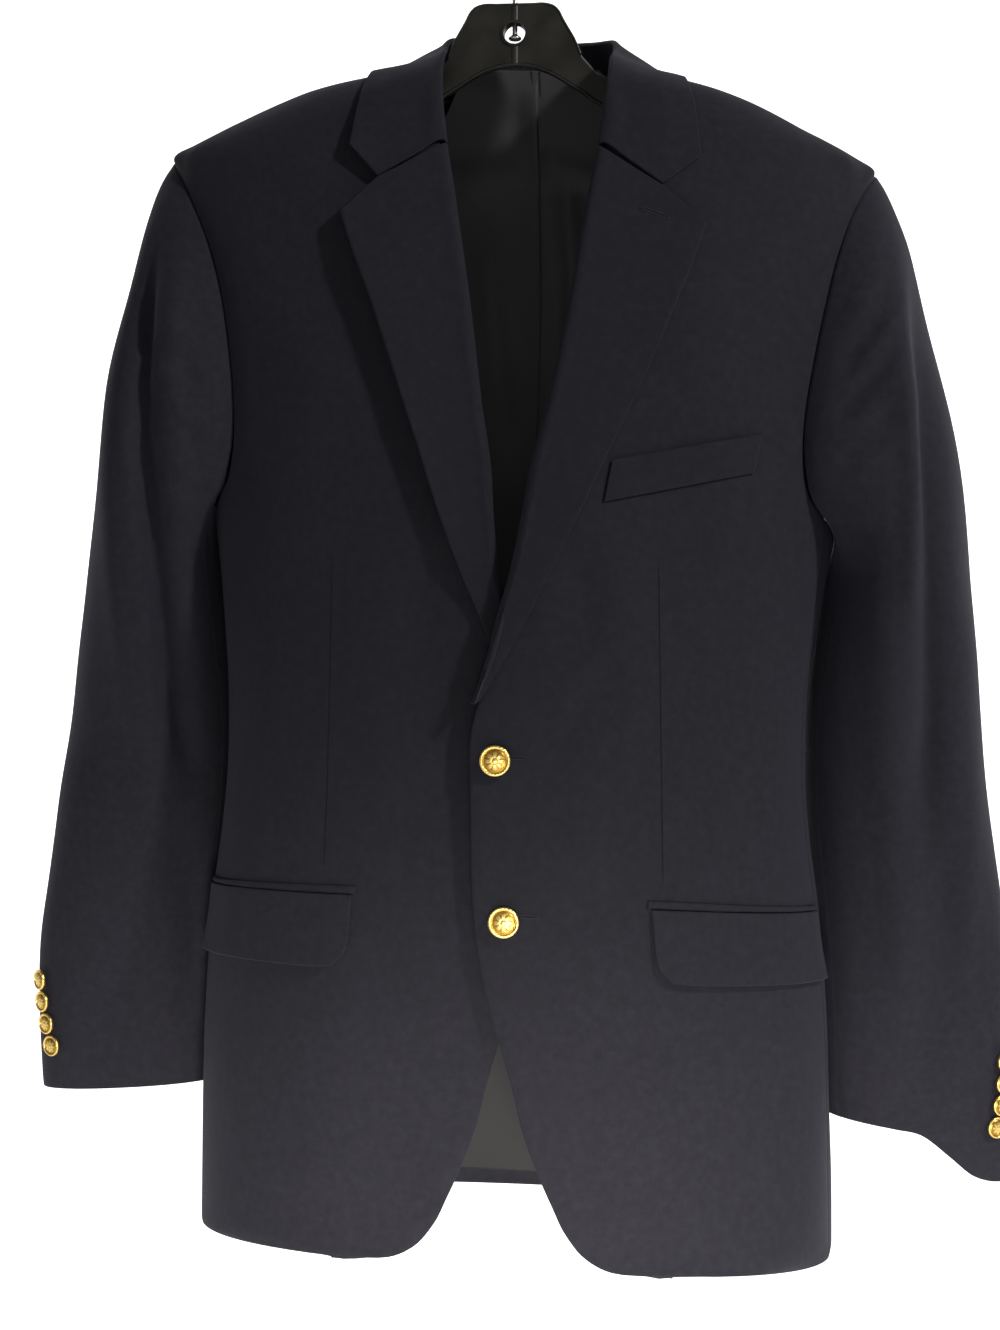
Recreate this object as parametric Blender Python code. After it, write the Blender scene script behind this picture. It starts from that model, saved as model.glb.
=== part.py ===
"""A navy blazer hanging on a plastic hanger. Metres, +Z up, the viewer stands on -Y.

The origin is the inner top of the hook, where it bears on a rail.
+X is the viewer's right, which is the wearer's left.
"""

import math

import bmesh
import bpy
import numpy as np
from mathutils import Vector
from mathutils.bvhtree import BVHTree

# Driving sizes
WALL = 0.0020  # shell cloth with its interlining
LEAF_WALL = 0.0016  # lapels and collar
LINING_WALL = 0.0010
SEAM = 0.00015  # each panel stops this far short of a seam
SHARP_ANGLE = 0.8
SECTION_POWER = 2.5  # roundness of the body's level sections
LEAN = 0.0375  # the wearer's left side hangs lower
NECK_DRIFT = 0.007  # the neck sits off the hanger's centre
TOP_DRIFT = 0.004
SLEEVE_DRIFT = 0.0065  # the upper sleeves swing a little to the wearer's left
FRONT_BUTTON_RADIUS = 0.0100
CUFF_BUTTON_RADIUS = 0.0074
CUFF_BUTTON_PITCH = 0.0152
CUFF_BUTTON_TOP = {1: -0.8100, -1: -0.7656}
CUFF_BUTTON_STEPS = {1: (2.40, 2.46, 2.60, 2.85), -1: (1.85, 2.08, 2.40, 2.75)}  # ring steps, top button first
BUTTON_Z = (-0.5995, -0.7020)
HUB_TOP = -0.0850
WINDOW_Z = -0.1054
WINDOW_RADIUS = 0.0075
HOOK_INNER_RADIUS = 0.0190
HOOK_ROD_RADIUS = 0.0018

# Body sections: height, half width, front depth, back depth. The first rows climb the shoulder.
BODY = (
    (-0.9400, 0.2170, 0.1150, 0.0900),
    (-0.8000, 0.2150, 0.1145, 0.0880),
    (-0.7000, 0.2080, 0.1120, 0.0820),
    (-0.6200, 0.1990, 0.1080, 0.0750),
    (-0.5800, 0.1985, 0.1070, 0.0750),
    (-0.5200, 0.2030, 0.1080, 0.0800),
    (-0.4500, 0.2120, 0.1100, 0.0870),
    (-0.3800, 0.2220, 0.1050, 0.0905),
    (-0.3000, 0.2350, 0.0930, 0.0900),
    (-0.2500, 0.2405, 0.0840, 0.0860),
    (-0.1990, 0.2430, 0.0700, 0.0780),
    (-0.1919, 0.2330, 0.0680, 0.0760),
    (-0.1835, 0.2190, 0.0655, 0.0735),
    (-0.1711, 0.1940, 0.0620, 0.0700),
    (-0.1620, 0.1765, 0.0580, 0.0665),
    (-0.1510, 0.1510, 0.0520, 0.0620),
    (-0.1456, 0.1330, 0.0480, 0.0590),
    (-0.1412, 0.1150, 0.0430, 0.0550),
    (-0.1360, 0.0935, 0.0360, 0.0490),
    (-0.1310, 0.0745, 0.0280, 0.0440),
)

# Armhole: angle round the body (0 centre front, 90 side, 180 centre back) and height.
ARM_FRONT = (
    (90.0, -0.199), (80.0, -0.205), (71.0, -0.217), (64.5, -0.235), (59.0, -0.262), (56.0, -0.292),
    (54.5, -0.330), (54.8, -0.372), (57.0, -0.402), (62.0, -0.424), (70.0, -0.435),
)
ARM_UNDER = ((79.0, -0.441), (90.0, -0.443), (101.0, -0.436))
ARM_BACK = (
    (110.0, -0.425), (116.0, -0.405), (120.5, -0.375), (122.5, -0.340), (122.0, -0.305), (119.0, -0.272),
    (114.5, -0.245), (109.0, -0.226), (103.0, -0.212), (97.0, -0.203), (90.0, -0.199),
)

# Front panel below the armhole: front edge x and height, then the side seam's angle and height.
FRONT_ROWS = (
    (0.1100, -0.9255, 80.0, -0.930),
    (0.0720, -0.9230, 80.0, -0.917),
    (0.0560, -0.9150, 80.0, -0.904),
    (0.0430, -0.9000, 80.0, -0.888),
    (0.0340, -0.8820, 80.0, -0.868),
    (0.0250, -0.8620, 80.0, -0.848),
    (0.0156, -0.8370, 80.0, -0.825),
    (0.0080, -0.8070, 80.0, -0.795),
    (-0.0010, -0.7760, 80.0, -0.765),
    (-0.0100, -0.7420, 80.0, -0.735),
    (-0.0160, -0.7030, 80.0, -0.700),
    (-0.0180, -0.6600, 80.0, -0.660),
    (-0.0185, -0.6200, 79.5, -0.620),
    (-0.0190, -0.5900, 79.0, -0.580),
)

# Roll line above the front edge: height, and the side seam or armhole height beside it.
ROLL_ROWS = (
    (-0.5710, 78.5, -0.550), (-0.5430, 78.0, -0.520), (-0.5100, 76.5, -0.490), (-0.4750, 74.0, -0.460),
)
ROLL_TOP_ROWS = (-0.4400, -0.4000, -0.3500, -0.3000, -0.2450, -0.1960)
ROLL = (
    (-0.5710, -0.0195), (-0.5420, -0.0100), (-0.5040, -0.0018), (-0.4735, 0.0065), (-0.3965, 0.0167),
    (-0.3680, 0.0230), (-0.3310, 0.0290), (-0.2870, 0.0360), (-0.2400, 0.0435), (-0.1960, 0.0510),
)
NECK_FRONT = ((18.0, -0.1580), (28.5, -0.1435), (47.0, -0.1355), (65.0, -0.1322), (90.0, -0.1310))
NECK_BACK = ((180.0, -0.1395), (160.0, -0.1388), (138.0, -0.1362), (116.0, -0.1328), (90.0, -0.1310))
NECK_SET_BACK = 0.020  # share of a row left bare under the collar
PANEL_SET_BACK = 0.0035  # the front stops this far inside the rolled fold

# Centre back height, then the side seam's angle and height beside it, from the hem up.
BACK_ROWS = (
    (-0.9220, 117.0, -0.930),
    (-0.8980, 117.0, -0.900),
    (-0.8700, 117.0, -0.872),
    (-0.8400, 117.0, -0.842),
    (-0.8100, 117.0, -0.812),
    (-0.7800, 117.0, -0.782),
    (-0.7500, 117.0, -0.752),
    (-0.7300, 117.0, -0.732),
    (-0.7150, 117.0, -0.715),
    (-0.7000, 117.0, -0.698),
    (-0.6850, 117.0, -0.680),
    (-0.6550, 116.8, -0.650),
    (-0.6200, 116.0, -0.618),
    (-0.5850, 115.2, -0.585),
    (-0.5550, 114.6, -0.555),
    (-0.5250, 113.8, -0.525),
    (-0.4950, 112.8, -0.495),
    (-0.4650, 111.5, -0.460),
)
BACK_TOP_ROWS = (-0.4300, -0.3850, -0.3300, -0.2700, -0.2150, -0.1720)
LINING_HEIGHTS = (
    -0.900, -0.830, -0.760, -0.695, -0.620, -0.540, -0.460, -0.380, -0.300, -0.240, -0.205, -0.180, -0.164,
)

# The lining's top inside the neck: height, depth at centre back, half width, roundness of the level curve
NECK_LINING = (
    (-0.1780, 0.0618, 0.0720, 0.200), (-0.1640, 0.0568, 0.0700, 0.160), (-0.1500, 0.0505, 0.0630, 0.115),
    (-0.1380, 0.0447, 0.0560, 0.085), (-0.1280, 0.0432, 0.0510, 0.075), (-0.1200, 0.0425, 0.0460, 0.075),
)
VENT_TOP = -0.6850
VENT_UNDERLAP = 0.0400
VENT_LIFT = 0.0038

# How far the overlapping left front stands off, by height.
LEFT_LIFT = (
    (-0.94, 0.0065), (-0.75, 0.0085), (-0.62, 0.0115), (-0.56, 0.0140), (-0.49, 0.0140), (-0.40, 0.0060),
    (-0.30, 0.0010), (-0.10, 0.0000),
)

# Lapel: height on the roll line, outer edge x and height, edge lift of the raised right lapel.
LAPEL_ROWS = (
    (-0.5640, -0.0125, -0.5620, 0.0000),
    (-0.5500, -0.0035, -0.5460, 0.0000),
    (-0.5320, 0.0060, -0.5280, 0.0005),
    (-0.5080, 0.0185, -0.5020, 0.0020),
    (-0.4800, 0.0310, -0.4740, 0.0055),
    (-0.4450, 0.0455, -0.4390, 0.0085),
    (-0.4100, 0.0575, -0.4080, 0.0100),
    (-0.3700, 0.0710, -0.3740, 0.0105),
    (-0.3300, 0.0845, -0.3400, 0.0105),
    (-0.2900, 0.0965, -0.3080, 0.0105),
    (-0.2500, 0.1085, -0.2780, 0.0105),
    (-0.2200, 0.1150, -0.2600, 0.0100),
    (-0.1970, 0.1190, -0.2480, 0.0095),
)
LEFT_LAPEL_WIDER = 0.0035  # the wearer's left lapel and collar spread wider
NOTCH = (0.0935, -0.2235)
NOTCH_SHARE = 0.62
COLLAR_END = (  # across the collar's end at the gorge: along the seam, then off the body
    (0.0140, -0.0054), (0.0060, -0.0052), (0.0012, -0.0046), (-0.0012, -0.0020), (-0.0006, 0.0014),
    (0.0026, 0.0034),
)
COLLAR_STAND_OFF = 0.0038  # from the body's cloth to the collar's visible face

# Collar stations from the gorge to centre back: the rolled fold, then the free edge.
COLLAR_FOLD = (
    (0.0510, -0.0725, -0.1955), (0.0545, -0.0575, -0.1600), (0.0563, -0.0430, -0.1400),
    (0.0570, -0.0250, -0.1250), (0.0580, -0.0050, -0.1165), (0.0580, 0.0100, -0.1080),
    (0.0545, 0.0260, -0.1015), (0.0430, 0.0430, -0.0985), (0.0260, 0.0550, -0.0965),
    (0.0000, 0.0590, -0.0965),
)
COLLAR_EDGE = (
    (0.1153, -0.0660, -0.2020), (0.1125, -0.0560, -0.1780), (0.1090, -0.0430, -0.1620),
    (0.1055, -0.0260, -0.1470), (0.1030, -0.0130, -0.1420), (0.1010, 0.0040, -0.1390),
    (0.0930, 0.0280, -0.1415), (0.0820, 0.0480, -0.1490), (0.0500, 0.0620, -0.1540),
    (0.0000, 0.0670, -0.1560),
)

# Sleeve rings: height, inner x, outer x, front y, back y
SLEEVE = (
    (-0.4800, 0.2083, 0.3055, -0.0640, 0.0900),
    (-0.5200, 0.2036, 0.3105, -0.0550, 0.0920),
    (-0.5500, 0.2000, 0.3150, -0.0450, 0.0930),
    (-0.6200, 0.1985, 0.3250, -0.0220, 0.0880),
    (-0.7000, 0.2060, 0.3365, -0.0130, 0.0760),
    (-0.7700, 0.2110, 0.3455, -0.0040, 0.0670),
    (-0.8435, 0.2140, 0.3425, 0.0020, 0.0610),
)
SLEEVE_HEIGHTS = (-0.4800, -0.5200, -0.5650, -0.6150, -0.6600, -0.7050, -0.7500, -0.7970, -0.8435)
CAP_ROWS = 6
RING_STEPS = 24
FRONT_SEAM_STEP = 10
BACK_SEAM_STEP = -1


def clear_scene():
    for item in list(bpy.data.objects):
        bpy.data.objects.remove(item, do_unlink=True)


def slopes(xs, ys):
    """Slopes of a monotone cubic through the points, so that it never overshoots a table."""
    steps = np.diff(xs)
    rise = np.diff(ys) / steps
    found = np.zeros(len(xs))
    found[0] = rise[0]
    found[-1] = rise[-1]
    for i in range(1, len(xs) - 1):
        if rise[i - 1] * rise[i] > 0:
            first = 2 * steps[i] + steps[i - 1]
            second = steps[i] + 2 * steps[i - 1]
            found[i] = (first + second) / (first / rise[i - 1] + second / rise[i])
    return found


class Track:
    """A smooth curve through the columns of a table, keyed by its first column in rising order."""

    def __init__(self, rows):
        data = np.array(sorted(rows), float)
        self.keys = data[:, 0]
        self.values = data[:, 1:]
        self.slopes = np.stack([slopes(self.keys, column) for column in self.values.T], axis=1)

    def at(self, key):
        key = min(max(key, self.keys[0]), self.keys[-1])
        i = int(np.clip(np.searchsorted(self.keys, key) - 1, 0, len(self.keys) - 2))
        step = self.keys[i + 1] - self.keys[i]
        s = (key - self.keys[i]) / step
        a = (1 + 2 * s) * (1 - s) ** 2
        b = s * (1 - s) ** 2 * step
        c = s * s * (3 - 2 * s)
        d = s * s * (s - 1) * step
        return a * self.values[i] + b * self.slopes[i] + c * self.values[i + 1] + d * self.slopes[i + 1]


BODY_TRACK = Track(BODY)
LIFT_TRACK = Track(LEFT_LIFT)
ROLL_TRACK = Track(ROLL)
SLEEVE_TRACK = Track(SLEEVE)


def soft(value, low, high):
    """0 below low, 1 above high, smooth between."""
    s = min(max((value - low) / (high - low), 0.0), 1.0)
    return s * s * (3 - 2 * s)


def roll_x(z):
    return float(ROLL_TRACK.at(z)[0])


def angle_of(x, z):
    """The angle round the body, in degrees, of a front point at x."""
    half = BODY_TRACK.at(z)[0]
    share = min(abs(x) / half, 1.0) ** (SECTION_POWER / 2)
    return math.copysign(math.degrees(math.asin(share)), x)


def lean(point, side=1):
    """Hangs the garment as shown: mirrored for the side, drifted at the neck, lower on the wearer's left."""
    x, y, z = point
    x *= side
    high = soft(z, -0.62, -0.26)
    spread = 1 - min(abs(x) / 0.25, 1.0) ** 2
    swing = soft(z, -0.66, -0.40) * (1 - soft(z, -0.33, -0.22)) * soft(abs(x), 0.17, 0.25)
    out = x + high * (TOP_DRIFT + NECK_DRIFT * spread) + SLEEVE_DRIFT * swing
    return Vector((out, y, z - LEAN * x))


def body(t, z, lift):
    """A point of the body's outer face before it is mirrored and leant."""
    half, front, back = BODY_TRACK.at(z)
    angle = math.radians(t)
    power = 2 / SECTION_POWER
    x = math.copysign(half * abs(math.sin(angle)) ** power, math.sin(angle))
    depth = front if math.cos(angle) > 0 else back
    y = -math.copysign(depth * abs(math.cos(angle)) ** power, math.cos(angle))
    y += lift(x, z)
    return Vector((x, y, z))


def no_lift(x, z):
    return 0.0


def left_front_lift(x, z):
    return -float(LIFT_TRACK.at(z)[0]) * (1 - soft(x, 0.03, 0.13))


def left_back_lift(x, z):
    return VENT_LIFT * (1 - soft(z, -0.70, VENT_TOP)) * (1 - soft(x, 0.050, 0.110))


def body_normal(t, z, side, lift):
    """The outward normal of the leant body."""
    step = 0.05
    rise = 0.0002
    along = lean(body(t + step, z, lift), side) - lean(body(t - step, z, lift), side)
    up = lean(body(t, z + rise, lift), side) - lean(body(t, z - rise, lift), side)
    normal = along.cross(up) * side
    return normal.normalized()


def bezier(start, first, second, end, s):
    return start * (1 - s) ** 3 + first * 3 * s * (1 - s) ** 2 + second * 3 * s * s * (1 - s) + end * s ** 3


def new_object(name, points, faces, slot):
    mesh = bpy.data.meshes.new(name)
    mesh.from_pydata([tuple(p) for p in points], [], faces)
    mesh.validate()
    mesh.update()
    item = bpy.data.objects.new(name, mesh)
    bpy.context.scene.collection.objects.link(item)
    for polygon in mesh.polygons:
        polygon.use_smooth = True
    work = bmesh.new()
    work.from_mesh(mesh)
    for edge in work.edges:
        edge.smooth = edge.calc_face_angle(0.0) < SHARP_ANGLE
    work.to_mesh(mesh)
    work.free()
    mesh.materials.append(slot)
    return item


def slab_faces(rows, columns):
    """Faces of a closed sheet: the outer grid, then the inner grid, then the four edges."""
    def at(r, c, layer):
        return layer * rows * columns + r * columns + c

    faces = []
    for r in range(rows - 1):
        for c in range(columns - 1):
            faces.append((at(r, c, 0), at(r, c + 1, 0), at(r + 1, c + 1, 0), at(r + 1, c, 0)))
            faces.append((at(r, c, 1), at(r + 1, c, 1), at(r + 1, c + 1, 1), at(r, c + 1, 1)))
    bottom = rows - 1
    for c in range(columns - 1):
        faces.append((at(0, c + 1, 0), at(0, c, 0), at(0, c, 1), at(0, c + 1, 1)))
        faces.append((at(bottom, c, 0), at(bottom, c + 1, 0), at(bottom, c + 1, 1), at(bottom, c, 1)))
    end = columns - 1
    for r in range(rows - 1):
        faces.append((at(r, 0, 0), at(r + 1, 0, 0), at(r + 1, 0, 1), at(r, 0, 1)))
        faces.append((at(r + 1, end, 0), at(r, end, 0), at(r, end, 1), at(r + 1, end, 1)))
    return faces


def pull_in(grid, amount):
    """Draws the four edges of a grid in, which leaves the seam gap."""
    rows = len(grid)
    columns = len(grid[0])
    moved = [[p.copy() for p in row] for row in grid]
    for c in range(columns):
        moved[0][c] += (grid[1][c] - grid[0][c]).normalized() * amount
        moved[-1][c] += (grid[-2][c] - grid[-1][c]).normalized() * amount
    for r in range(rows):
        moved[r][0] += (grid[r][1] - grid[r][0]).normalized() * amount
        moved[r][-1] += (grid[r][-2] - grid[r][-1]).normalized() * amount
    return moved


def slab(name, grid, normals, wall, slot):
    """A closed sheet of the given wall under an outer face."""
    rows = len(grid)
    columns = len(grid[0])
    outer = [p for row in grid for p in row]
    inner = [grid[r][c] - normals[r][c] * wall for r in range(rows) for c in range(columns)]
    faces = slab_faces(rows, columns)
    centre = (rows // 2) * columns + columns // 2
    across = outer[centre + 1] - outer[centre]
    along = outer[centre + columns] - outer[centre]
    if across.cross(along).dot(outer[centre] - inner[centre]) < 0:
        faces = [tuple(reversed(face)) for face in faces]
    return new_object(name, outer + inner, faces, slot)


def grid_normals(grid, outward):
    """Normals of a grid by differences, turned to agree with a direction or a function of the point."""
    rows = len(grid)
    columns = len(grid[0])
    found = []
    for r in range(rows):
        line = []
        for c in range(columns):
            across = grid[r][min(c + 1, columns - 1)] - grid[r][max(c - 1, 0)]
            along = grid[min(r + 1, rows - 1)][c] - grid[max(r - 1, 0)][c]
            line.append(across.cross(along).normalized())
        found.append(line)
    middle = found[rows // 2][columns // 2]
    sign = 1 if middle.dot(outward) > 0 else -1
    return [[n * sign for n in line] for line in found]


def row_between(start, end, columns, set_back=0.0):
    """Angle and height along a panel row, which may start a share of its length late."""
    shares = [set_back + (1 - set_back) * c / (columns - 1) for c in range(columns)]
    return [(start[0] + (end[0] - start[0]) * s, start[1] + (end[1] - start[1]) * s) for s in shares]


def panel(name, rows, side, lift, wall, slot, inset=0.0):
    """A panel of the body from rows of angle and height."""
    normals = [[body_normal(t, z, side, lift) for t, z in row] for row in rows]
    grid = [[lean(body(t, z, lift), side) for t, z in row] for row in rows]
    grid = pull_in(grid, SEAM)
    if inset:
        grid = [[p - n * inset for p, n in zip(line, around)] for line, around in zip(grid, normals)]
    return slab(name, grid, normals, wall, slot)


def material(name, colour, roughness, metallic=0.0):
    made = bpy.data.materials.new(name)
    made.use_nodes = True
    shader = made.node_tree.nodes["Principled BSDF"]
    shader.inputs["Base Color"].default_value = (*colour, 1.0)
    shader.inputs["Roughness"].default_value = roughness
    shader.inputs["Metallic"].default_value = metallic
    return made


# The garment's panels
ARM = ARM_FRONT + ARM_UNDER + ARM_BACK


def front_edges():
    """Both ends of every row of a front panel, from the hem to the shoulder seam."""
    left = [(angle_of(x, z), z) for x, z, _, _ in FRONT_ROWS]
    right = [(t, z) for _, _, t, z in FRONT_ROWS]
    for z, t, beside in ROLL_ROWS:
        left.append((angle_of(roll_x(z) + PANEL_SET_BACK, z), z))
        right.append((t, beside))
    for z in ROLL_TOP_ROWS:
        left.append((angle_of(roll_x(z) + PANEL_SET_BACK, z), z))
    left += list(NECK_FRONT)
    right += list(reversed(ARM_FRONT))
    return left, right


def back_edges(underlap):
    """Both ends of every row of a back panel. The underlap runs past centre back below the vent's top."""
    left = []
    for z, _, _ in BACK_ROWS:
        past = 0.0
        if underlap and z < -0.71:
            half = BODY_TRACK.at(z)[0]
            past = math.degrees(math.asin((VENT_UNDERLAP / half) ** (SECTION_POWER / 2)))
        left.append((180.0 + past, z))
    left += [(180.0, z) for z in BACK_TOP_ROWS]
    left += list(NECK_BACK)
    right = [(t, z) for _, t, z in BACK_ROWS]
    right += list(ARM_BACK)
    return left, right


def panel_rows(edges, columns):
    """The rows of a panel. Those that end at the neck stop short of the collar."""
    left, right = edges
    last = len(left) - len(NECK_FRONT)
    rows = []
    for i, (a, b) in enumerate(zip(left, right)):
        late = NECK_SET_BACK if i >= last else 0.0
        if i == last and a[0] == 180.0:
            a = (a[0], a[1] - 0.0035)
            late = 0.0
        rows.append(row_between(a, b, columns, late))
    return rows


def front_panel(name, side, lift, slot):
    return panel(name, panel_rows(front_edges(), 12), side, lift, WALL, slot)


def back_panel(name, side, lift, slot):
    return panel(name, panel_rows(back_edges(side < 0), 9), side, lift, WALL, slot)


def side_panel(name, side, slot):
    front = front_edges()[1][:len(FRONT_ROWS) + len(ROLL_ROWS)]
    back = back_edges(False)[1][:len(BACK_ROWS)]
    rows = [row_between(a, b, 5) for a, b in zip(front, back)]
    rows.append(list(ARM[10:15]))
    return panel(name, rows, side, no_lift, WALL, slot)


def lining_panel(name, side, slot):
    """Half of the back lining, which shows through the neck and between the fronts at the hem."""
    over = side > 0

    def lift(x, z):
        return -0.0030 * (1 - soft(x, 0.012, 0.045)) if over else 0.0

    rows = []
    for z in LINING_HEIGHTS:
        centre = 177.0 if z < -0.69 else (183.0 if over else 180.0)
        rows.append(row_between((centre, z), (126.0, z), 8))
    return panel(name, rows, side, lift, LINING_WALL, slot, inset=WALL + 0.0022)


def neck_lining(name, slot):
    """The lining's top, which runs up inside the back of the neck and hides the collar's stand."""
    grid = []
    for z, depth, half, roundness in NECK_LINING:
        line = []
        for column in range(13):
            x = half * (column / 6 - 1)
            y = depth * (1 - (abs(x) / roundness) ** 2.4) ** 0.4
            line.append(lean((x, y, z)))
        grid.append(line)
    normals = grid_normals(grid, Vector((0, -1, 0)))
    return slab(name, grid, normals, LINING_WALL, slot)


# Sleeves
def ring_point(step, z, side):
    """A point of a sleeve's level ring: step 0 is outermost, a quarter of the steps is the front."""
    inner, outer, front, back = SLEEVE_TRACK.at(z)
    angle = 2 * math.pi * step / RING_STEPS
    power = 2 / 2.15
    reach = math.copysign(abs(math.cos(angle)) ** power, math.cos(angle))
    depth = math.copysign(abs(math.sin(angle)) ** power, math.sin(angle))
    x = (inner + outer) / 2 + (outer - inner) / 2 * reach
    y = (front + back) / 2 - (back - front) / 2 * depth
    share = (x - inner) / (outer - inner)
    drop = 0.013 * share
    if side > 0:
        drop = 0.014 * share + 0.026 * soft(share, 0.45, 0.85)
    return lean((x, y, z - drop * (1 - soft(z, -0.8435, -0.72))), side)


def armhole(side):
    """The armhole's points, the body's normals there, and the directions into the hole."""
    points = [lean(body(t, z, no_lift), side) for t, z in ARM[:-1]]
    normals = [body_normal(t, z, side, no_lift) for t, z in ARM[:-1]]
    centre = sum(points, Vector((0, 0, 0))) / len(points)
    inward = []
    for i, (p, n) in enumerate(zip(points, normals)):
        tangent = points[(i + 1) % len(points)] - points[i - 1]
        across = tangent.cross(n).normalized()
        inward.append(across if across.dot(centre - p) > 0 else -across)
    return points, normals, inward


def sleeve_grid(side):
    """The whole sleeve as closed rings from the armhole down, and its outward normals."""
    points, normals, inward = armhole(side)
    rows = []
    for k in range(CAP_ROWS):
        s = (k / CAP_ROWS) ** 1.35
        ring = []
        for i in range(RING_STEPS):
            under = (1 - math.cos(2 * math.pi * i / RING_STEPS)) / 2
            puff = 1.6 * math.sqrt(under * (1 - under)) + 0.20 * under + 1.0 * (1 - under) ** 3
            away = inward[i] * (1 - under) ** 2 * 1.1 + normals[i] * puff
            away.z -= 0.25 + 0.6 * under
            away.normalize()
            start = points[i] + (inward[i] + normals[i] * under) * 0.0005
            end = ring_point(i, SLEEVE_HEIGHTS[0], side)
            up = (end - ring_point(i, SLEEVE_HEIGHTS[1], side)).normalized()
            reach = (end - start).length
            pull = 0.10 + 0.20 * min(1.0, under * 3) - 0.14 * max(0.0, under * 3 - 2)
            ring.append(bezier(start, start + away * reach * pull, end + up * reach * 0.45, end, s))
        rows.append(ring)
    for z in SLEEVE_HEIGHTS:
        rows.append([ring_point(i, z, side) for i in range(RING_STEPS)])
    found = []
    for r, ring in enumerate(rows):
        line = []
        for i in range(RING_STEPS):
            across = ring[(i + 1) % RING_STEPS] - ring[i - 1]
            along = rows[min(r + 1, len(rows) - 1)][i] - rows[max(r - 1, 0)][i]
            line.append(across.cross(along).normalized() * side)
        found.append(line)
    low = found[-1]
    if low[0].x * side < 0:
        found = [[-n for n in line] for line in found]
    return rows, found


def sleeve_part(name, side, first, last, slot):
    rows, normals = sleeve_grid(side)
    steps = range(first, last + 1)
    grid = [[ring[i % RING_STEPS] for i in steps] for ring in rows]
    around = [[line[i % RING_STEPS] for i in steps] for line in normals]
    return slab(name, pull_in(grid, SEAM), around, WALL, slot)


# What lies on the panels
def tree_of(*items):
    """A search tree of the outer faces of the given sheets."""
    points = []
    faces = []
    for item in items:
        start = len(points)
        points += [v.co.copy() for v in item.data.vertices]
        faces += [[start + v for v in polygon.vertices] for polygon in item.data.polygons]
    return BVHTree.FromPolygons(points, faces)


def on_body(tree, t, z, side, lift, height):
    """A point this far off the panel that was built, and the normal there."""
    normal = body_normal(t, z, side, lift)
    base = lean(body(t, z, lift), side)
    hit = tree.ray_cast(base + normal * 0.03, -normal, 0.06)
    if hit[0] is not None:
        base = hit[0]
    return base + normal * height, normal


def lapel(name, side, lift, tree, slot):
    """A lapel: short facing inside, rolled fold, then the leaf on the front."""
    grid = []
    normals = []
    for row, (z, edge_x, edge_z, rise) in enumerate(LAPEL_ROWS):
        edge_x += side * LEFT_LAPEL_WIDER * soft(edge_x, 0.02, 0.10)
        start_x = roll_x(z)
        t = angle_of(start_x, z)
        centre = lean(body(t, z, lift), side)
        normal = body_normal(t, z, side, lift)
        edge = lean(body(angle_of(edge_x, edge_z), edge_z, lift), side)
        across = edge - centre
        across -= normal * across.dot(normal)
        length = across.length
        across.normalize()
        taper = 1.0 if row > 2 else (0.55, 0.75, 0.9)[row]
        inside = 0.016 * taper if row > 1 else 0.009
        line = []
        for along, out in ((inside, -0.0052), (inside * 0.5, -0.0052), (0.0022, -0.0050), (-0.0008, -0.0034),
                           (-0.0014, -0.0008), (0.0, 0.0020), (0.0028, 0.0036)):
            line.append(centre + across * min(along, length * 0.7 + 0.004) + normal * out)
        top = row == len(LAPEL_ROWS) - 1
        raised = rise if side < 0 else rise * 0.08
        for share in (0.16, 0.34, NOTCH_SHARE, 0.82, 1.0):
            if top and share <= NOTCH_SHARE:
                part = share / NOTCH_SHARE
                x = start_x + (NOTCH[0] - start_x) * part
                height = z + (NOTCH[1] - z) * part
            elif top:
                part = (share - NOTCH_SHARE) / (1 - NOTCH_SHARE)
                x = NOTCH[0] + (edge_x - NOTCH[0]) * part
                height = NOTCH[1] + (edge_z - NOTCH[1]) * part
            else:
                x = start_x + (edge_x - start_x) * share
                height = z + (edge_z - z) * share
            out = 0.0038 - 0.0006 * share + raised * share ** 1.6
            point, _ = on_body(tree, angle_of(x, height), height, side, lift, out)
            line.append(point)
        grid.append(line)
    normals = grid_normals(grid, Vector((0, -1, 0)))
    leaf = normals[6][9]
    if leaf.y > 0:
        normals = [[-n for n in line] for line in normals]
    return slab(name, grid, normals, LEAF_WALL, slot)


def pocket_flap(name, side, lift, tree, slot):
    grid = []
    for row in range(6):
        s = row / 5
        line = []
        for column in range(12):
            f = column / 11
            start = 0.0965 + 0.0035 * s + (0.0095 if row == 5 else 0.0018 if row == 4 else 0.0)
            top = -0.6915 - 0.0050 * f
            z = top - (0.0475 - 0.0025 * f) * s + (0.0012 if row == 5 and column == 0 else 0.0)
            low = angle_of(start, z)
            t = low + (77.5 - low) * f
            out = 0.0031 + 0.0030 * s * s
            line.append(on_body(tree, t, z, side, lift, out)[0])
        grid.append(line)
    normals = grid_normals(grid, Vector((0, -1, 0)))
    return slab(name, grid, normals, LEAF_WALL, slot)


def jet(name, side, lift, tree, slot):
    grid = []
    for row in range(3):
        line = []
        for column in range(12):
            f = column / 11
            z = -0.6911 - 0.0050 * f + 0.0055 * row / 2 * (1 - 0.4 * f)
            low = angle_of(0.0945, z)
            t = low + (77.5 - low) * f
            out = 0.0024 - 0.0004 * abs(row - 1)
            line.append(on_body(tree, t, z, side, lift, out)[0])
        grid.append(line)
    normals = grid_normals(grid, Vector((0, -1, 0)))
    return slab(name, grid, normals, 0.0012, slot)


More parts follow.
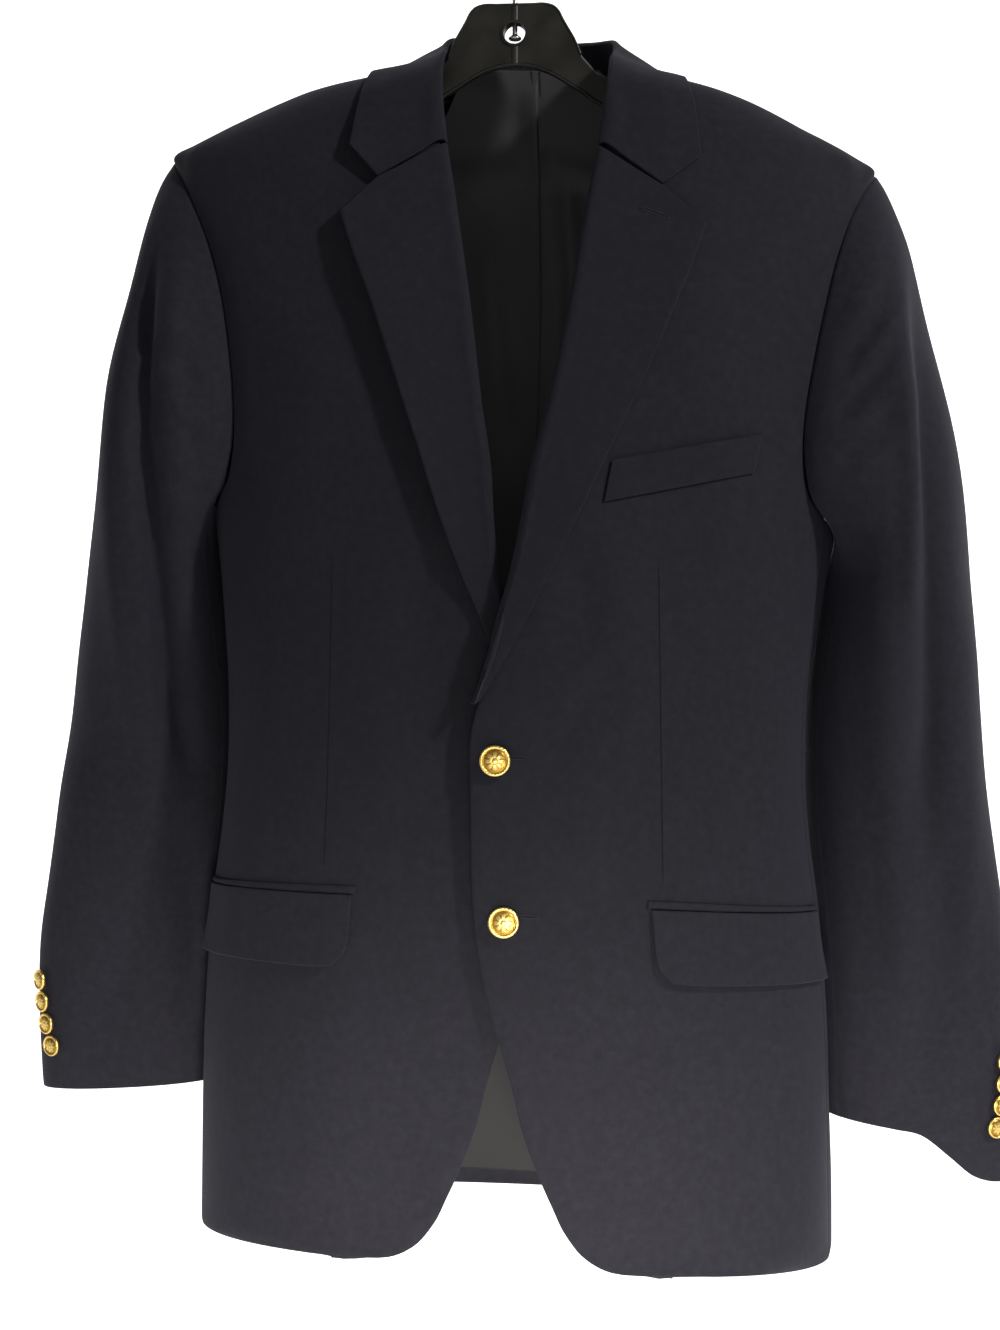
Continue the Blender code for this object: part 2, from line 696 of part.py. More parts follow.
def chest_welt(name, side, lift, tree, slot):
    grid = []
    for row in range(4):
        s = row / 3
        line = []
        for column in range(9):
            f = column / 8
            x = 0.0650 - 0.0040 * s + (0.0960 - 0.0010 * s) * f
            z = -0.4055 + 0.0215 * f - (0.0270 - 0.0015 * f) * s
            line.append(on_body(tree, angle_of(x, z), z, side, lift, 0.0026)[0])
        grid.append(line)
    normals = grid_normals(grid, Vector((0, -1, 0)))
    return slab(name, grid, normals, 0.0014, slot)


def outer_tree(sides):
    """The outer faces of both fronts and both backs, turned outwards."""
    points = []
    faces = []
    for side, edges, columns, lift in sides:
        rows = panel_rows(edges, columns)
        start = len(points)
        grid = [lean(body(t, z, lift), side) for row in rows for t, z in row]
        points += grid
        middle = (len(rows) // 2) * columns + columns // 2
        t, z = rows[len(rows) // 2][columns // 2]
        normal = (grid[middle + 1] - grid[middle]).cross(grid[middle + columns] - grid[middle])
        keep = normal.dot(body_normal(t, z, side, lift)) > 0
        for r in range(len(rows) - 1):
            for c in range(columns - 1):
                a = start + r * columns + c
                face = (a, a + 1, a + 1 + columns, a + columns)
                faces.append(face if keep else tuple(reversed(face)))
    return BVHTree.FromPolygons(points, faces)


def press_out(point, tree, height):
    """Moves a point out until it lies this far off the body. A point well beyond the body's edge stays."""
    near, normal, _, _ = tree.find_nearest(point)
    offset = point - near
    out = offset.dot(normal)
    if (offset - normal * out).length > 0.010 or out >= height:
        return point
    return point + normal * (height - out)


def collar(tree, lift_left, slot):
    """One collar: stand, rolled fold and leaf, from notch to notch round the neck."""
    neck = [(angle_of(roll_x(-0.1960) + PANEL_SET_BACK, -0.1960), -0.1960)] + list(NECK_FRONT)
    neck += list(reversed(NECK_BACK[:-1]))
    stations = []
    for side in (1, -1):
        half = []
        lift = lift_left if side > 0 else no_lift
        for i, (t, z) in enumerate(neck):
            seam = lean(body(t, z, lift), side)
            fold = lean(Vector(COLLAR_FOLD[i]), side)
            wider = Vector((side * LEFT_LAPEL_WIDER * (1 - soft(i, 0, 5)), 0, 0))
            edge = lean(Vector(COLLAR_EDGE[i]) + wider, side)
            inward = (Vector((seam.x * 0.15, 0.0, fold.z)) - fold)
            inward.z = 0.0
            inward.normalize()
            climb = (fold - seam).normalized()
            if i == 0:
                normal = body_normal(t, z, side, lift)
                across = edge - fold
                across -= normal * across.dot(normal)
                across.normalize()
                up = Vector((0, 0.0006, 0.0012))
                centre = lean(body(angle_of(roll_x(-0.1960), -0.1960), -0.1960, lift), side) + up
                line = [centre + across * a + normal * n for a, n in COLLAR_END]
                notch = lean(body(angle_of(*NOTCH), NOTCH[1], lift), side) + normal * 0.0034 + up
                tip = edge
                for share in (0.22, 0.42, NOTCH_SHARE, 0.82, 1.0):
                    if share <= NOTCH_SHARE:
                        line.append(line[5].lerp(notch, share / NOTCH_SHARE))
                    else:
                        line.append(notch.lerp(tip, (share - NOTCH_SHARE) / (1 - NOTCH_SHARE)))
            else:
                line = [
                    seam + climb * 0.0030 + inward * 0.0040 - Vector((0, 0, 0.0030)),
                    seam + climb * 0.0090 + inward * 0.0034,
                    fold - climb * 0.0070 + inward * 0.0022,
                    fold + inward * 0.0012 - Vector((0, 0, 0.0022)),
                    fold - inward * 0.0012,
                    fold - inward * 0.0046 - Vector((0, 0, 0.0024)),
                ]
                for share in (0.22, 0.42, NOTCH_SHARE, 0.82, 1.0):
                    p = line[5].lerp(edge, share)
                    line.append(p - inward * (0.0032 if i > 2 else 0.0006) * math.sin(math.pi * share))
            raised = 0.0070 if side < 0 and i == 0 else 0.0025 if side < 0 and i == 1 else 0.0
            for k in range(6, 11):
                line[k] = press_out(line[k], tree, COLLAR_STAND_OFF + raised * ((k - 5) / 5) ** 1.6)
            half.append(line)
        stations.append(half)
    first, second = stations
    grid = first + list(reversed(second[:-1]))
    for line in grid:
        for k in range(6, 11):
            line[k] = press_out(line[k], tree, COLLAR_STAND_OFF)
    normals = grid_normals(grid, Vector((0, 1, 0.3)))
    return slab("collar", grid, normals, LEAF_WALL, slot)


# Hard pieces
def lathe(name, profile, steps, centre, axis, slot):
    """A turned solid: profile rows of radius and height along the axis, from the bottom to the top."""
    axis = axis.normalized()
    side = axis.orthogonal().normalized()
    other = axis.cross(side)
    points = []
    for radius, height in profile:
        for i in range(steps):
            angle = 2 * math.pi * i / steps
            reach = side * math.cos(angle) + other * math.sin(angle)
            points.append(centre + axis * height + reach * radius)
    faces = []
    for r in range(len(profile) - 1):
        for i in range(steps):
            j = (i + 1) % steps
            faces.append((r * steps + i, r * steps + j, (r + 1) * steps + j, (r + 1) * steps + i))
    faces.append(tuple(reversed(range(steps))))
    faces.append(tuple((len(profile) - 1) * steps + i for i in range(steps)))
    return new_object(name, points, faces, slot)


def button(name, centre, normal, radius, shank, steps, slot):
    """A domed metal button on its shank, from the cloth up."""
    r = radius
    profile = ((0.0013, 0.0), (0.0013, shank), (r * 0.94, shank + 0.0003), (r, shank + 0.0011),
               (r * 0.93, shank + 0.0020), (r * 0.50, shank + 0.0029))
    return lathe(name, profile, steps, centre, normal, slot)


HANGER_BELOW = 0.0030  # from the shoulder seam's outer face down to the arm's top

# Hanger stations: distance from the centre, top, bottom, half thickness
HANGER = (
    (0.0000, -0.0850, -0.1273, 0.0045), (0.0120, -0.0850, -0.1288, 0.0045),
    (0.0225, -0.0850, -0.1325, 0.0045), (0.0275, -0.0868, -0.1350, 0.0045),
    (0.0311, -0.0905, -0.1372, 0.0045), (0.0339, -0.0960, -0.1390, 0.0045),
    (0.0370, -0.1015, -0.1410, 0.0045), (0.0415, -0.1095, -0.1438, 0.0046),
    (0.0465, -0.1215, -0.1467, 0.0048), (0.0560, -0.1290, -0.1505, 0.0050),
    (0.0680, -0.1350, -0.1560, 0.0052), (0.0820, -0.1410, -0.1620, 0.0056),
    (0.1000, -0.1440, -0.1690, 0.0055), (0.1200, -0.1500, -0.1745, 0.0055),
    (0.1450, -0.1580, -0.1810, 0.0055), (0.1700, -0.1680, -0.1890, 0.0055),
    (0.1900, -0.1790, -0.1960, 0.0055),
)


def shoulder_height(x):
    """Height of the leant shoulder seam above a point at x."""
    side = 1 if x > 0 else -1
    seam = [lean(body(90.0, z, no_lift), side) for z in np.linspace(-0.1985, -0.1310, 40)]
    seam.sort(key=lambda p: p.x)
    return float(np.interp(x, [p.x for p in seam], [p.z for p in seam]))


def hanger_body(slot):
    """One moulded plate: hub, arms under the shoulders, window and bore for the hook."""
    points = []
    stations = [(-x, top, low, half, -1) for x, top, low, half in reversed(HANGER[1:])]
    stations += [(x, top, low, half, 1) for x, top, low, half in HANGER]
    for x, top, low, half, side in stations:
        if abs(x) > 0.09:
            carried = shoulder_height(x) - HANGER_BELOW
            low = carried - (top - low)
            top = carried
        elif x > 0.05:
            top -= 0.0035
            low -= 0.0035
        r = min(0.0022, half * 0.45)
        for y, z in ((-half, top - r), (-half + r, top), (half - r, top), (half, top - r), (half, low + r),
                     (half - r, low), (-half + r, low), (-half, low + r)):
            points.append((x, y, z))
    faces = []
    for s in range(len(stations) - 1):
        for i in range(8):
            j = (i + 1) % 8
            faces.append((s * 8 + i, s * 8 + j, (s + 1) * 8 + j, (s + 1) * 8 + i))
    faces.append(tuple(reversed(range(8))))
    faces.append(tuple((len(stations) - 1) * 8 + i for i in range(8)))
    item = new_object("hanger", points, faces, slot)
    fix_outward(item)
    ahead = Vector((0, 1, 0))
    up = Vector((0, 0, 1))
    bore_radius = HOOK_ROD_RADIUS + 0.0003
    ring_profile = ((0.0090, 0.0), (0.0090, 0.0114))
    ring = lathe("boss_ring", ring_profile, 32, Vector((0, -0.0057, WINDOW_Z)), ahead, slot)
    rib = lathe("boss_rib", ((0.0036, 0.0), (0.0036, 0.0395)), 16, Vector((0, -0.0018, -0.1262)), up, slot)
    window_profile = ((WINDOW_RADIUS, 0.0), (WINDOW_RADIUS, 0.04))
    window = lathe("window_cut", window_profile, 32, Vector((0, -0.02, WINDOW_Z)), ahead, slot)
    bore_profile = ((bore_radius, 0.0), (bore_radius, 0.030))
    bore = lathe("bore_cut", bore_profile, 16, Vector((0, 0, WINDOW_Z + 0.002)), up, slot)
    for cutter, operation in ((ring, "UNION"), (rib, "UNION"), (window, "DIFFERENCE"), (bore, "DIFFERENCE")):
        fix_outward(cutter)
        cut = item.modifiers.new(cutter.name, "BOOLEAN")
        cut.solver = "EXACT"
        cut.operation = operation
        cut.object = cutter
        cutter.hide_render = True
        cutter.display_type = "WIRE"
    return item


def fix_outward(item):
    """Turns a closed mesh outwards when its volume comes out negative."""
    mesh = item.data
    total = 0.0
    for polygon in mesh.polygons:
        corners = [mesh.vertices[v].co for v in polygon.vertices]
        for a, b in zip(corners[1:-1], corners[2:]):
            total += corners[0].dot(a.cross(b))
    if total < 0:
        mesh.flip_normals()


def hook(slot):
    """The metal hook: head in the window, straight shank, then the open loop that bears on the rail."""
    radius = HOOK_INNER_RADIUS + HOOK_ROD_RADIUS
    middle = -HOOK_INNER_RADIUS
    rod = HOOK_ROD_RADIUS
    path = [(0, -0.1092, 0.0042), (0, -0.1080, 0.0046), (0, -0.1068, 0.0036)]
    path += [(0, -0.1050, rod), (0, -0.0620, rod)]
    first = math.radians(-50)
    end = Vector((radius * math.cos(first), 0, middle + radius * math.sin(first)))
    start = Vector((0, 0, -0.0620))
    along = Vector((-math.sin(first), 0, math.cos(first)))
    for k in range(1, 4):
        s = k / 4
        p = bezier(start, Vector((0, 0, -0.0510)), end - along * 0.0100, end, s)
        path.append((p.x, p.z, HOOK_ROD_RADIUS))
    for k in range(0, 15):
        angle = first + math.radians(255) * k / 14
        path.append((radius * math.cos(angle), middle + radius * math.sin(angle), HOOK_ROD_RADIUS))
    last = path[-1]
    before = path[-2]
    step = Vector((last[0] - before[0], 0, last[1] - before[1])).normalized()
    path.append((last[0] + step.x * 0.0012, last[1] + step.z * 0.0012, 0.0012))
    points = []
    steps = 8
    for i, (x, z, r) in enumerate(path):
        a = path[max(i - 1, 0)]
        b = path[min(i + 1, len(path) - 1)]
        tangent = Vector((b[0] - a[0], 0, b[1] - a[1])).normalized()
        across = Vector((0, 1, 0))
        other = tangent.cross(across)
        for k in range(steps):
            angle = 2 * math.pi * k / steps
            points.append(Vector((x, 0, z)) + (across * math.cos(angle) + other * math.sin(angle)) * r)
    faces = []
    for s in range(len(path) - 1):
        for k in range(steps):
            j = (k + 1) % steps
            faces.append((s * steps + k, s * steps + j, (s + 1) * steps + j, (s + 1) * steps + k))
    faces.append(tuple(reversed(range(steps))))
    faces.append(tuple((len(path) - 1) * steps + k for k in range(steps)))
    item = new_object("hook", points, faces, slot)
    fix_outward(item)
    return item


def cuff_buttons(side, word, slot):
    """Four buttons in a row by the back seam of a cuff, a hair apart."""
    for i, step in enumerate(CUFF_BUTTON_STEPS[side]):
        height = CUFF_BUTTON_TOP[side] - CUFF_BUTTON_PITCH * i
        z = height
        for _ in range(6):
            z += height - ring_point(step, z, side).z
        point = ring_point(step, z, side)
        around = ring_point(step + 0.1, z, side) - ring_point(step - 0.1, z, side)
        up = ring_point(step, z + 0.001, side) - ring_point(step, z - 0.001, side)
        normal = around.cross(up).normalized()
        if normal.x * side < 0:
            normal = -normal
        name = f"{word}_cuff_button_{i + 1}"
        item = button(name, point + normal * 0.0004, normal, CUFF_BUTTON_RADIUS, 0.0014, 12, slot)
        fix_outward(item)


def main():
    clear_scene()
    wool = material("navy_wool", (0.013, 0.013, 0.019), 0.85)
    lapel_wool = material("navy_wool_lapel", (0.012, 0.012, 0.018), 0.85)
    satin = material("black_lining", (0.010, 0.010, 0.012), 0.45)
    gold = material("gold_metal", (0.68, 0.45, 0.10), 0.28, 1.0)
    plastic = material("black_plastic", (0.018, 0.018, 0.016), 0.35)
    steel = material("steel", (0.62, 0.62, 0.62), 0.20, 1.0)

    left = front_panel("left_front", 1, left_front_lift, wool)
    right = front_panel("right_front", -1, no_lift, wool)
    side_panel("left_side", 1, wool)
    side_panel("right_side", -1, wool)
    back_panel("left_back", 1, left_back_lift, wool)
    back_panel("right_back", -1, no_lift, wool)
    lining_panel("left_lining", 1, satin)
    lining_panel("right_lining", -1, satin)
    neck_lining("neck_lining", satin)
    for side, word in ((1, "left"), (-1, "right")):
        sleeve_part(word + "_top_sleeve", side, BACK_SEAM_STEP, FRONT_SEAM_STEP, wool)
        sleeve_part(word + "_under_sleeve", side, FRONT_SEAM_STEP, RING_STEPS + BACK_SEAM_STEP, wool)
        cuff_buttons(side, word, gold)
    fronts = ((1, "left", left, left_front_lift), (-1, "right", right, no_lift))
    for side, word, item, lift in fronts:
        tree = tree_of(item)
        lapel(word + "_lapel", side, lift, tree, lapel_wool)
        pocket_flap(word + "_flap", side, lift, tree, wool)
        jet(word + "_jet", side, lift, tree, wool)
        if side > 0:
            chest_welt("chest_welt", side, lift, tree, wool)
            for i, (x, z) in enumerate(zip((-0.0021, 0.0036), BUTTON_Z)):
                place, normal = on_body(tree, angle_of(x, z), z, side, lift, 0.0004)
                made = button(f"front_button_{i + 1}", place, normal, FRONT_BUTTON_RADIUS, 0.0020, 20, gold)
                fix_outward(made)
    both = outer_tree((
        (1, front_edges(), 12, left_front_lift), (-1, front_edges(), 12, no_lift),
        (1, back_edges(False), 9, left_back_lift), (-1, back_edges(False), 9, no_lift)))
    collar(both, left_front_lift, lapel_wool)
    hanger_body(plastic)
    hook(steel)


main()
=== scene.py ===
"""The looks of a navy blazer on its hanger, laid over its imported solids. Metres, +Z up, seen from -Y."""

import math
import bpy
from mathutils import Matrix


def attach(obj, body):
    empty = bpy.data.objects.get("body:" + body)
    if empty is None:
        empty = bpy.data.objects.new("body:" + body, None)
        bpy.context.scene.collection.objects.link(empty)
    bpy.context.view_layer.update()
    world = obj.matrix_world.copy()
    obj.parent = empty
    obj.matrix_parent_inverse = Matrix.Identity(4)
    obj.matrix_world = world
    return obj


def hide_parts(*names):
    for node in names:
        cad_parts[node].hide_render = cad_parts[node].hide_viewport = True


bl_info = {
    "name": "Blazer on Hanger",
    "version": (1, 0, 0),
    "blender": (4, 5, 0),
    "location": "3D View > Sidebar > Blazer",
    "description": "Cloth, lining, buttons and hanger of a hanging blazer",
    "category": "Object",
}

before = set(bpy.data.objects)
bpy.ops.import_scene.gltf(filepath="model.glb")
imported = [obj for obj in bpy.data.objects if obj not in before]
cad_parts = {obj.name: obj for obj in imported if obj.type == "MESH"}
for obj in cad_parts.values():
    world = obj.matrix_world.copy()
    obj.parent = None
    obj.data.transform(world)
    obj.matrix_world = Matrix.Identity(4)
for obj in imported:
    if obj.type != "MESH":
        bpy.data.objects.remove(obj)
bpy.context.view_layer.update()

import bpy
import numpy as np
from mathutils import Vector
from mathutils.bvhtree import BVHTree


# Driving sizes
WALL = 0.002  # shell cloth with its interlining
LEAF_WALL = 0.0016  # lapels and collar
LINING_WALL = 0.001
SEAM = 0.00015  # each panel stops this far short of a seam
SECTION_POWER = 2.5  # roundness of the body's level sections
LEAN = 0.0375  # the wearer's left side hangs lower
NECK_DRIFT = 0.007  # the neck sits off the hanger's centre
TOP_DRIFT = 0.004
SLEEVE_DRIFT = 0.0065  # the upper sleeves swing a little to the wearer's left
FRONT_BUTTON_RADIUS = 0.01
CUFF_BUTTON_RADIUS = 0.0074
CUFF_BUTTON_PITCH = 0.0152
CUFF_BUTTON_TOP = {1: -0.81, -1: -0.7656}
CUFF_BUTTON_STEPS = {1: (2.4, 2.46, 2.6, 2.85), -1: (1.85, 2.08, 2.4, 2.75)}  # ring steps, top button first
BUTTON_Z = (-0.5995, -0.702)
HOOK_INNER_RADIUS = 0.019
HOOK_ROD_RADIUS = 0.0018

# Body sections: height, half width, front depth, back depth. The first rows climb the shoulder.
BODY = (
    (-0.94, 0.217, 0.115, 0.09),
    (-0.8, 0.215, 0.1145, 0.088),
    (-0.7, 0.208, 0.112, 0.082),
    (-0.62, 0.199, 0.108, 0.075),
    (-0.58, 0.1985, 0.107, 0.075),
    (-0.52, 0.203, 0.108, 0.08),
    (-0.45, 0.212, 0.11, 0.087),
    (-0.38, 0.222, 0.105, 0.0905),
    (-0.3, 0.235, 0.093, 0.09),
    (-0.25, 0.2405, 0.084, 0.086),
    (-0.199, 0.243, 0.07, 0.078),
    (-0.1919, 0.233, 0.068, 0.076),
    (-0.1835, 0.219, 0.0655, 0.0735),
    (-0.1711, 0.194, 0.062, 0.07),
    (-0.162, 0.1765, 0.058, 0.0665),
    (-0.151, 0.151, 0.052, 0.062),
    (-0.1456, 0.133, 0.048, 0.059),
    (-0.1412, 0.115, 0.043, 0.055),
    (-0.136, 0.0935, 0.036, 0.049),
    (-0.131, 0.0745, 0.028, 0.044),
)

# Armhole: angle round the body (0 centre front, 90 side, 180 centre back) and height.
ARM_FRONT = (
    (90.0, -0.199), (80.0, -0.205), (71.0, -0.217), (64.5, -0.235), (59.0, -0.262), (56.0, -0.292),
    (54.5, -0.33), (54.8, -0.372), (57.0, -0.402), (62.0, -0.424), (70.0, -0.435),
)
ARM_UNDER = ((79.0, -0.441), (90.0, -0.443), (101.0, -0.436))
ARM_BACK = (
    (110.0, -0.425), (116.0, -0.405), (120.5, -0.375), (122.5, -0.34), (122.0, -0.305), (119.0, -0.272),
    (114.5, -0.245), (109.0, -0.226), (103.0, -0.212), (97.0, -0.203), (90.0, -0.199),
)

# Front panel below the armhole: front edge x and height, then the side seam's angle and height.
FRONT_ROWS = (
    (0.11, -0.9255, 80.0, -0.93),
    (0.072, -0.923, 80.0, -0.917),
    (0.056, -0.915, 80.0, -0.904),
    (0.043, -0.9, 80.0, -0.888),
    (0.034, -0.882, 80.0, -0.868),
    (0.025, -0.862, 80.0, -0.848),
    (0.0156, -0.837, 80.0, -0.825),
    (0.008, -0.807, 80.0, -0.795),
    (-0.001, -0.776, 80.0, -0.765),
    (-0.01, -0.742, 80.0, -0.735),
    (-0.016, -0.703, 80.0, -0.7),
    (-0.018, -0.66, 80.0, -0.66),
    (-0.0185, -0.62, 79.5, -0.62),
    (-0.019, -0.59, 79.0, -0.58),
)

# Roll line above the front edge: height, and the side seam or armhole height beside it.
ROLL_ROWS = (
    (-0.571, 78.5, -0.55), (-0.543, 78.0, -0.52), (-0.51, 76.5, -0.49), (-0.475, 74.0, -0.46),
)
ROLL_TOP_ROWS = (-0.44, -0.4, -0.35, -0.3, -0.245, -0.196)
ROLL = (
    (-0.571, -0.0195), (-0.542, -0.01), (-0.504, -0.0018), (-0.4735, 0.0065), (-0.3965, 0.0167),
    (-0.368, 0.023), (-0.331, 0.029), (-0.287, 0.036), (-0.24, 0.0435), (-0.196, 0.051),
)
NECK_FRONT = ((18.0, -0.158), (28.5, -0.1435), (47.0, -0.1355), (65.0, -0.1322), (90.0, -0.131))
NECK_BACK = ((180.0, -0.1395), (160.0, -0.1388), (138.0, -0.1362), (116.0, -0.1328), (90.0, -0.131))
NECK_SET_BACK = 0.02  # share of a row left bare under the collar
PANEL_SET_BACK = 0.0035  # the front stops this far inside the rolled fold

# Centre back height, then the side seam's angle and height beside it, from the hem up.
BACK_ROWS = (
    (-0.922, 117.0, -0.93),
    (-0.898, 117.0, -0.9),
    (-0.87, 117.0, -0.872),
    (-0.84, 117.0, -0.842),
    (-0.81, 117.0, -0.812),
    (-0.78, 117.0, -0.782),
    (-0.75, 117.0, -0.752),
    (-0.73, 117.0, -0.732),
    (-0.715, 117.0, -0.715),
    (-0.7, 117.0, -0.698),
    (-0.685, 117.0, -0.68),
    (-0.655, 116.8, -0.65),
    (-0.62, 116.0, -0.618),
    (-0.585, 115.2, -0.585),
    (-0.555, 114.6, -0.555),
    (-0.525, 113.8, -0.525),
    (-0.495, 112.8, -0.495),
    (-0.465, 111.5, -0.46),
)
BACK_TOP_ROWS = (-0.43, -0.385, -0.33, -0.27, -0.215, -0.172)

# The lining's top inside the neck: height, depth at centre back, half width, roundness of the level curve
NECK_LINING = (
    (-0.178, 0.0618, 0.072, 0.2), (-0.164, 0.0568, 0.07, 0.16), (-0.15, 0.0505, 0.063, 0.115),
    (-0.138, 0.0447, 0.056, 0.085), (-0.128, 0.0432, 0.051, 0.075), (-0.12, 0.0425, 0.046, 0.075),
)
VENT_TOP = -0.685
VENT_UNDERLAP = 0.04
UNDERLAP_TOP = -0.71
NECK_DROP = 0.0035  # how far under the collar's seam the centre back starts
VENT_LIFT = 0.0038

# How far the overlapping left front stands off, by height.
LEFT_LIFT = (
    (-0.94, 0.0065), (-0.75, 0.0085), (-0.62, 0.0115), (-0.56, 0.014), (-0.49, 0.014), (-0.4, 0.006),
    (-0.3, 0.001), (-0.1, 0.0),
)

# Lapel: height on the roll line, outer edge x and height, edge lift of the raised right lapel.
LAPEL_ROWS = (
    (-0.564, -0.0125, -0.562, 0.0),
    (-0.55, -0.0035, -0.546, 0.0),
    (-0.532, 0.006, -0.528, 0.0005),
    (-0.508, 0.0185, -0.502, 0.002),
    (-0.48, 0.031, -0.474, 0.0055),
    (-0.445, 0.0455, -0.439, 0.0085),
    (-0.41, 0.0575, -0.408, 0.01),
    (-0.37, 0.071, -0.374, 0.0105),
    (-0.33, 0.0845, -0.34, 0.0105),
    (-0.29, 0.0965, -0.308, 0.0105),
    (-0.25, 0.1085, -0.278, 0.0105),
    (-0.22, 0.115, -0.26, 0.01),
    (-0.197, 0.119, -0.248, 0.0095),
)
LEFT_LAPEL_WIDER = 0.0035  # the wearer's left lapel and collar spread wider
NOTCH = (0.0935, -0.2235)
NOTCH_SHARE = 0.62
COLLAR_END = (  # across the collar's end at the gorge: along the seam, then off the body
    (0.014, -0.0054), (0.006, -0.0052), (0.0012, -0.0046), (-0.0012, -0.002), (-0.0006, 0.0014),
    (0.0026, 0.0034),
)
COLLAR_STAND_OFF = 0.0038  # from the body's cloth to the collar's visible face
COLLAR_SHARES = (0.22, 0.42, NOTCH_SHARE, 0.82, 1.0)  # across its leaf, from the rolled fold
COLLAR_RAISED = (0.007, 0.0025)  # how far the wearer's right end stands up
GORGE_Z = -0.196  # where the collar starts on the roll line

# Collar stations from the gorge to centre back: the rolled fold, then the free edge.
COLLAR_FOLD = (
    (0.051, -0.0725, -0.1955), (0.0545, -0.0575, -0.16), (0.0563, -0.043, -0.14),
    (0.057, -0.025, -0.125), (0.058, -0.005, -0.1165), (0.058, 0.01, -0.108),
    (0.0545, 0.026, -0.1015), (0.043, 0.043, -0.0985), (0.026, 0.055, -0.0965),
    (0.0, 0.059, -0.0965),
)
COLLAR_EDGE = (
    (0.1153, -0.066, -0.202), (0.1125, -0.056, -0.178), (0.109, -0.043, -0.162),
    (0.1055, -0.026, -0.147), (0.103, -0.013, -0.142), (0.101, 0.004, -0.139),
    (0.093, 0.028, -0.1415), (0.082, 0.048, -0.149), (0.05, 0.062, -0.154),
    (0.0, 0.067, -0.156),
)

# Sleeve rings: height, inner x, outer x, front y, back y
SLEEVE = (
    (-0.48, 0.2083, 0.3055, -0.064, 0.09),
    (-0.52, 0.2036, 0.3105, -0.055, 0.092),
    (-0.55, 0.2, 0.315, -0.045, 0.093),
    (-0.62, 0.1985, 0.325, -0.022, 0.088),
    (-0.7, 0.206, 0.3365, -0.013, 0.076),
    (-0.77, 0.211, 0.3455, -0.004, 0.067),
    (-0.8435, 0.214, 0.3425, 0.002, 0.061),
)
SLEEVE_HEIGHTS = (-0.48, -0.52, -0.565, -0.615, -0.66, -0.705, -0.75, -0.797, -0.8435)
CAP_ROWS = 6
CAP_EASE = 1.35  # how much closer together the rows lie at the armhole
CAP_GAP = 0.0005
RING_STEPS = 24
FRONT_SEAM_STEP = 10
BACK_SEAM_STEP = -1


def slopes(xs, ys):
    """Slopes of a monotone cubic through the points, so that it never overshoots a table."""
    steps = np.diff(xs)
    rise = np.diff(ys) / steps
    found = np.zeros(len(xs))
    found[0] = rise[0]
    found[-1] = rise[-1]
    for i in range(1, len(xs) - 1):
        if rise[i - 1] * rise[i] > 0:
            first = 2 * steps[i] + steps[i - 1]
            second = steps[i] + 2 * steps[i - 1]
            found[i] = (first + second) / (first / rise[i - 1] + second / rise[i])
    return found


class Track:
    """A smooth curve through the columns of a table, keyed by its first column in rising order."""

    def __init__(self, rows):
        data = np.array(sorted(rows), float)
        self.keys = data[:, 0]
        self.values = data[:, 1:]
        self.slopes = np.stack([slopes(self.keys, column) for column in self.values.T], axis=1)

    def at(self, key):
        key = min(max(key, self.keys[0]), self.keys[-1])
        i = int(np.clip(np.searchsorted(self.keys, key) - 1, 0, len(self.keys) - 2))
        step = self.keys[i + 1] - self.keys[i]
        s = (key - self.keys[i]) / step
        a = (1 + 2 * s) * (1 - s) ** 2
        b = s * (1 - s) ** 2 * step
        c = s * s * (3 - 2 * s)
        d = s * s * (s - 1) * step
        return a * self.values[i] + b * self.slopes[i] + c * self.values[i + 1] + d * self.slopes[i + 1]


BODY_TRACK = Track(BODY)
LIFT_TRACK = Track(LEFT_LIFT)
ROLL_TRACK = Track(ROLL)
SLEEVE_TRACK = Track(SLEEVE)


def soft(value, low, high):
    """0 below low, 1 above high, smooth between."""
    s = min(max((value - low) / (high - low), 0.0), 1.0)
    return s * s * (3 - 2 * s)


def roll_x(z):
    return float(ROLL_TRACK.at(z)[0])


def angle_of(x, z):
    """The angle round the body, in degrees, of a front point at x."""
    half = BODY_TRACK.at(z)[0]
    share = min(abs(x) / half, 1.0) ** (SECTION_POWER / 2)
    return math.copysign(math.degrees(math.asin(share)), x)


def lean(point, side=1):
    """Hangs the garment as shown: mirrored for the side, drifted at the neck, lower on the wearer's left."""
    x, y, z = point
    x *= side
    high = soft(z, -0.62, -0.26)
    spread = 1 - min(abs(x) / 0.25, 1.0) ** 2
    swing = soft(z, -0.66, -0.4) * (1 - soft(z, -0.33, -0.22)) * soft(abs(x), 0.17, 0.25)
    out = x + high * (TOP_DRIFT + NECK_DRIFT * spread) + SLEEVE_DRIFT * swing
    return Vector((out, y, z - LEAN * x))


def body(t, z, lift):
    """A point of the body's outer face before it is mirrored and leant."""
    half, front, back = BODY_TRACK.at(z)
    angle = math.radians(t)
    power = 2 / SECTION_POWER
    x = math.copysign(half * abs(math.sin(angle)) ** power, math.sin(angle))
    depth = front if math.cos(angle) > 0 else back
    y = -math.copysign(depth * abs(math.cos(angle)) ** power, math.cos(angle))
    y += lift(x, z)
    return Vector((x, y, z))


def no_lift(x, z):
    return 0.0


def left_front_lift(x, z):
    return -float(LIFT_TRACK.at(z)[0]) * (1 - soft(x, 0.03, 0.13))


def left_back_lift(x, z):
    return VENT_LIFT * (1 - soft(z, -0.7, VENT_TOP)) * (1 - soft(x, 0.05, 0.11))


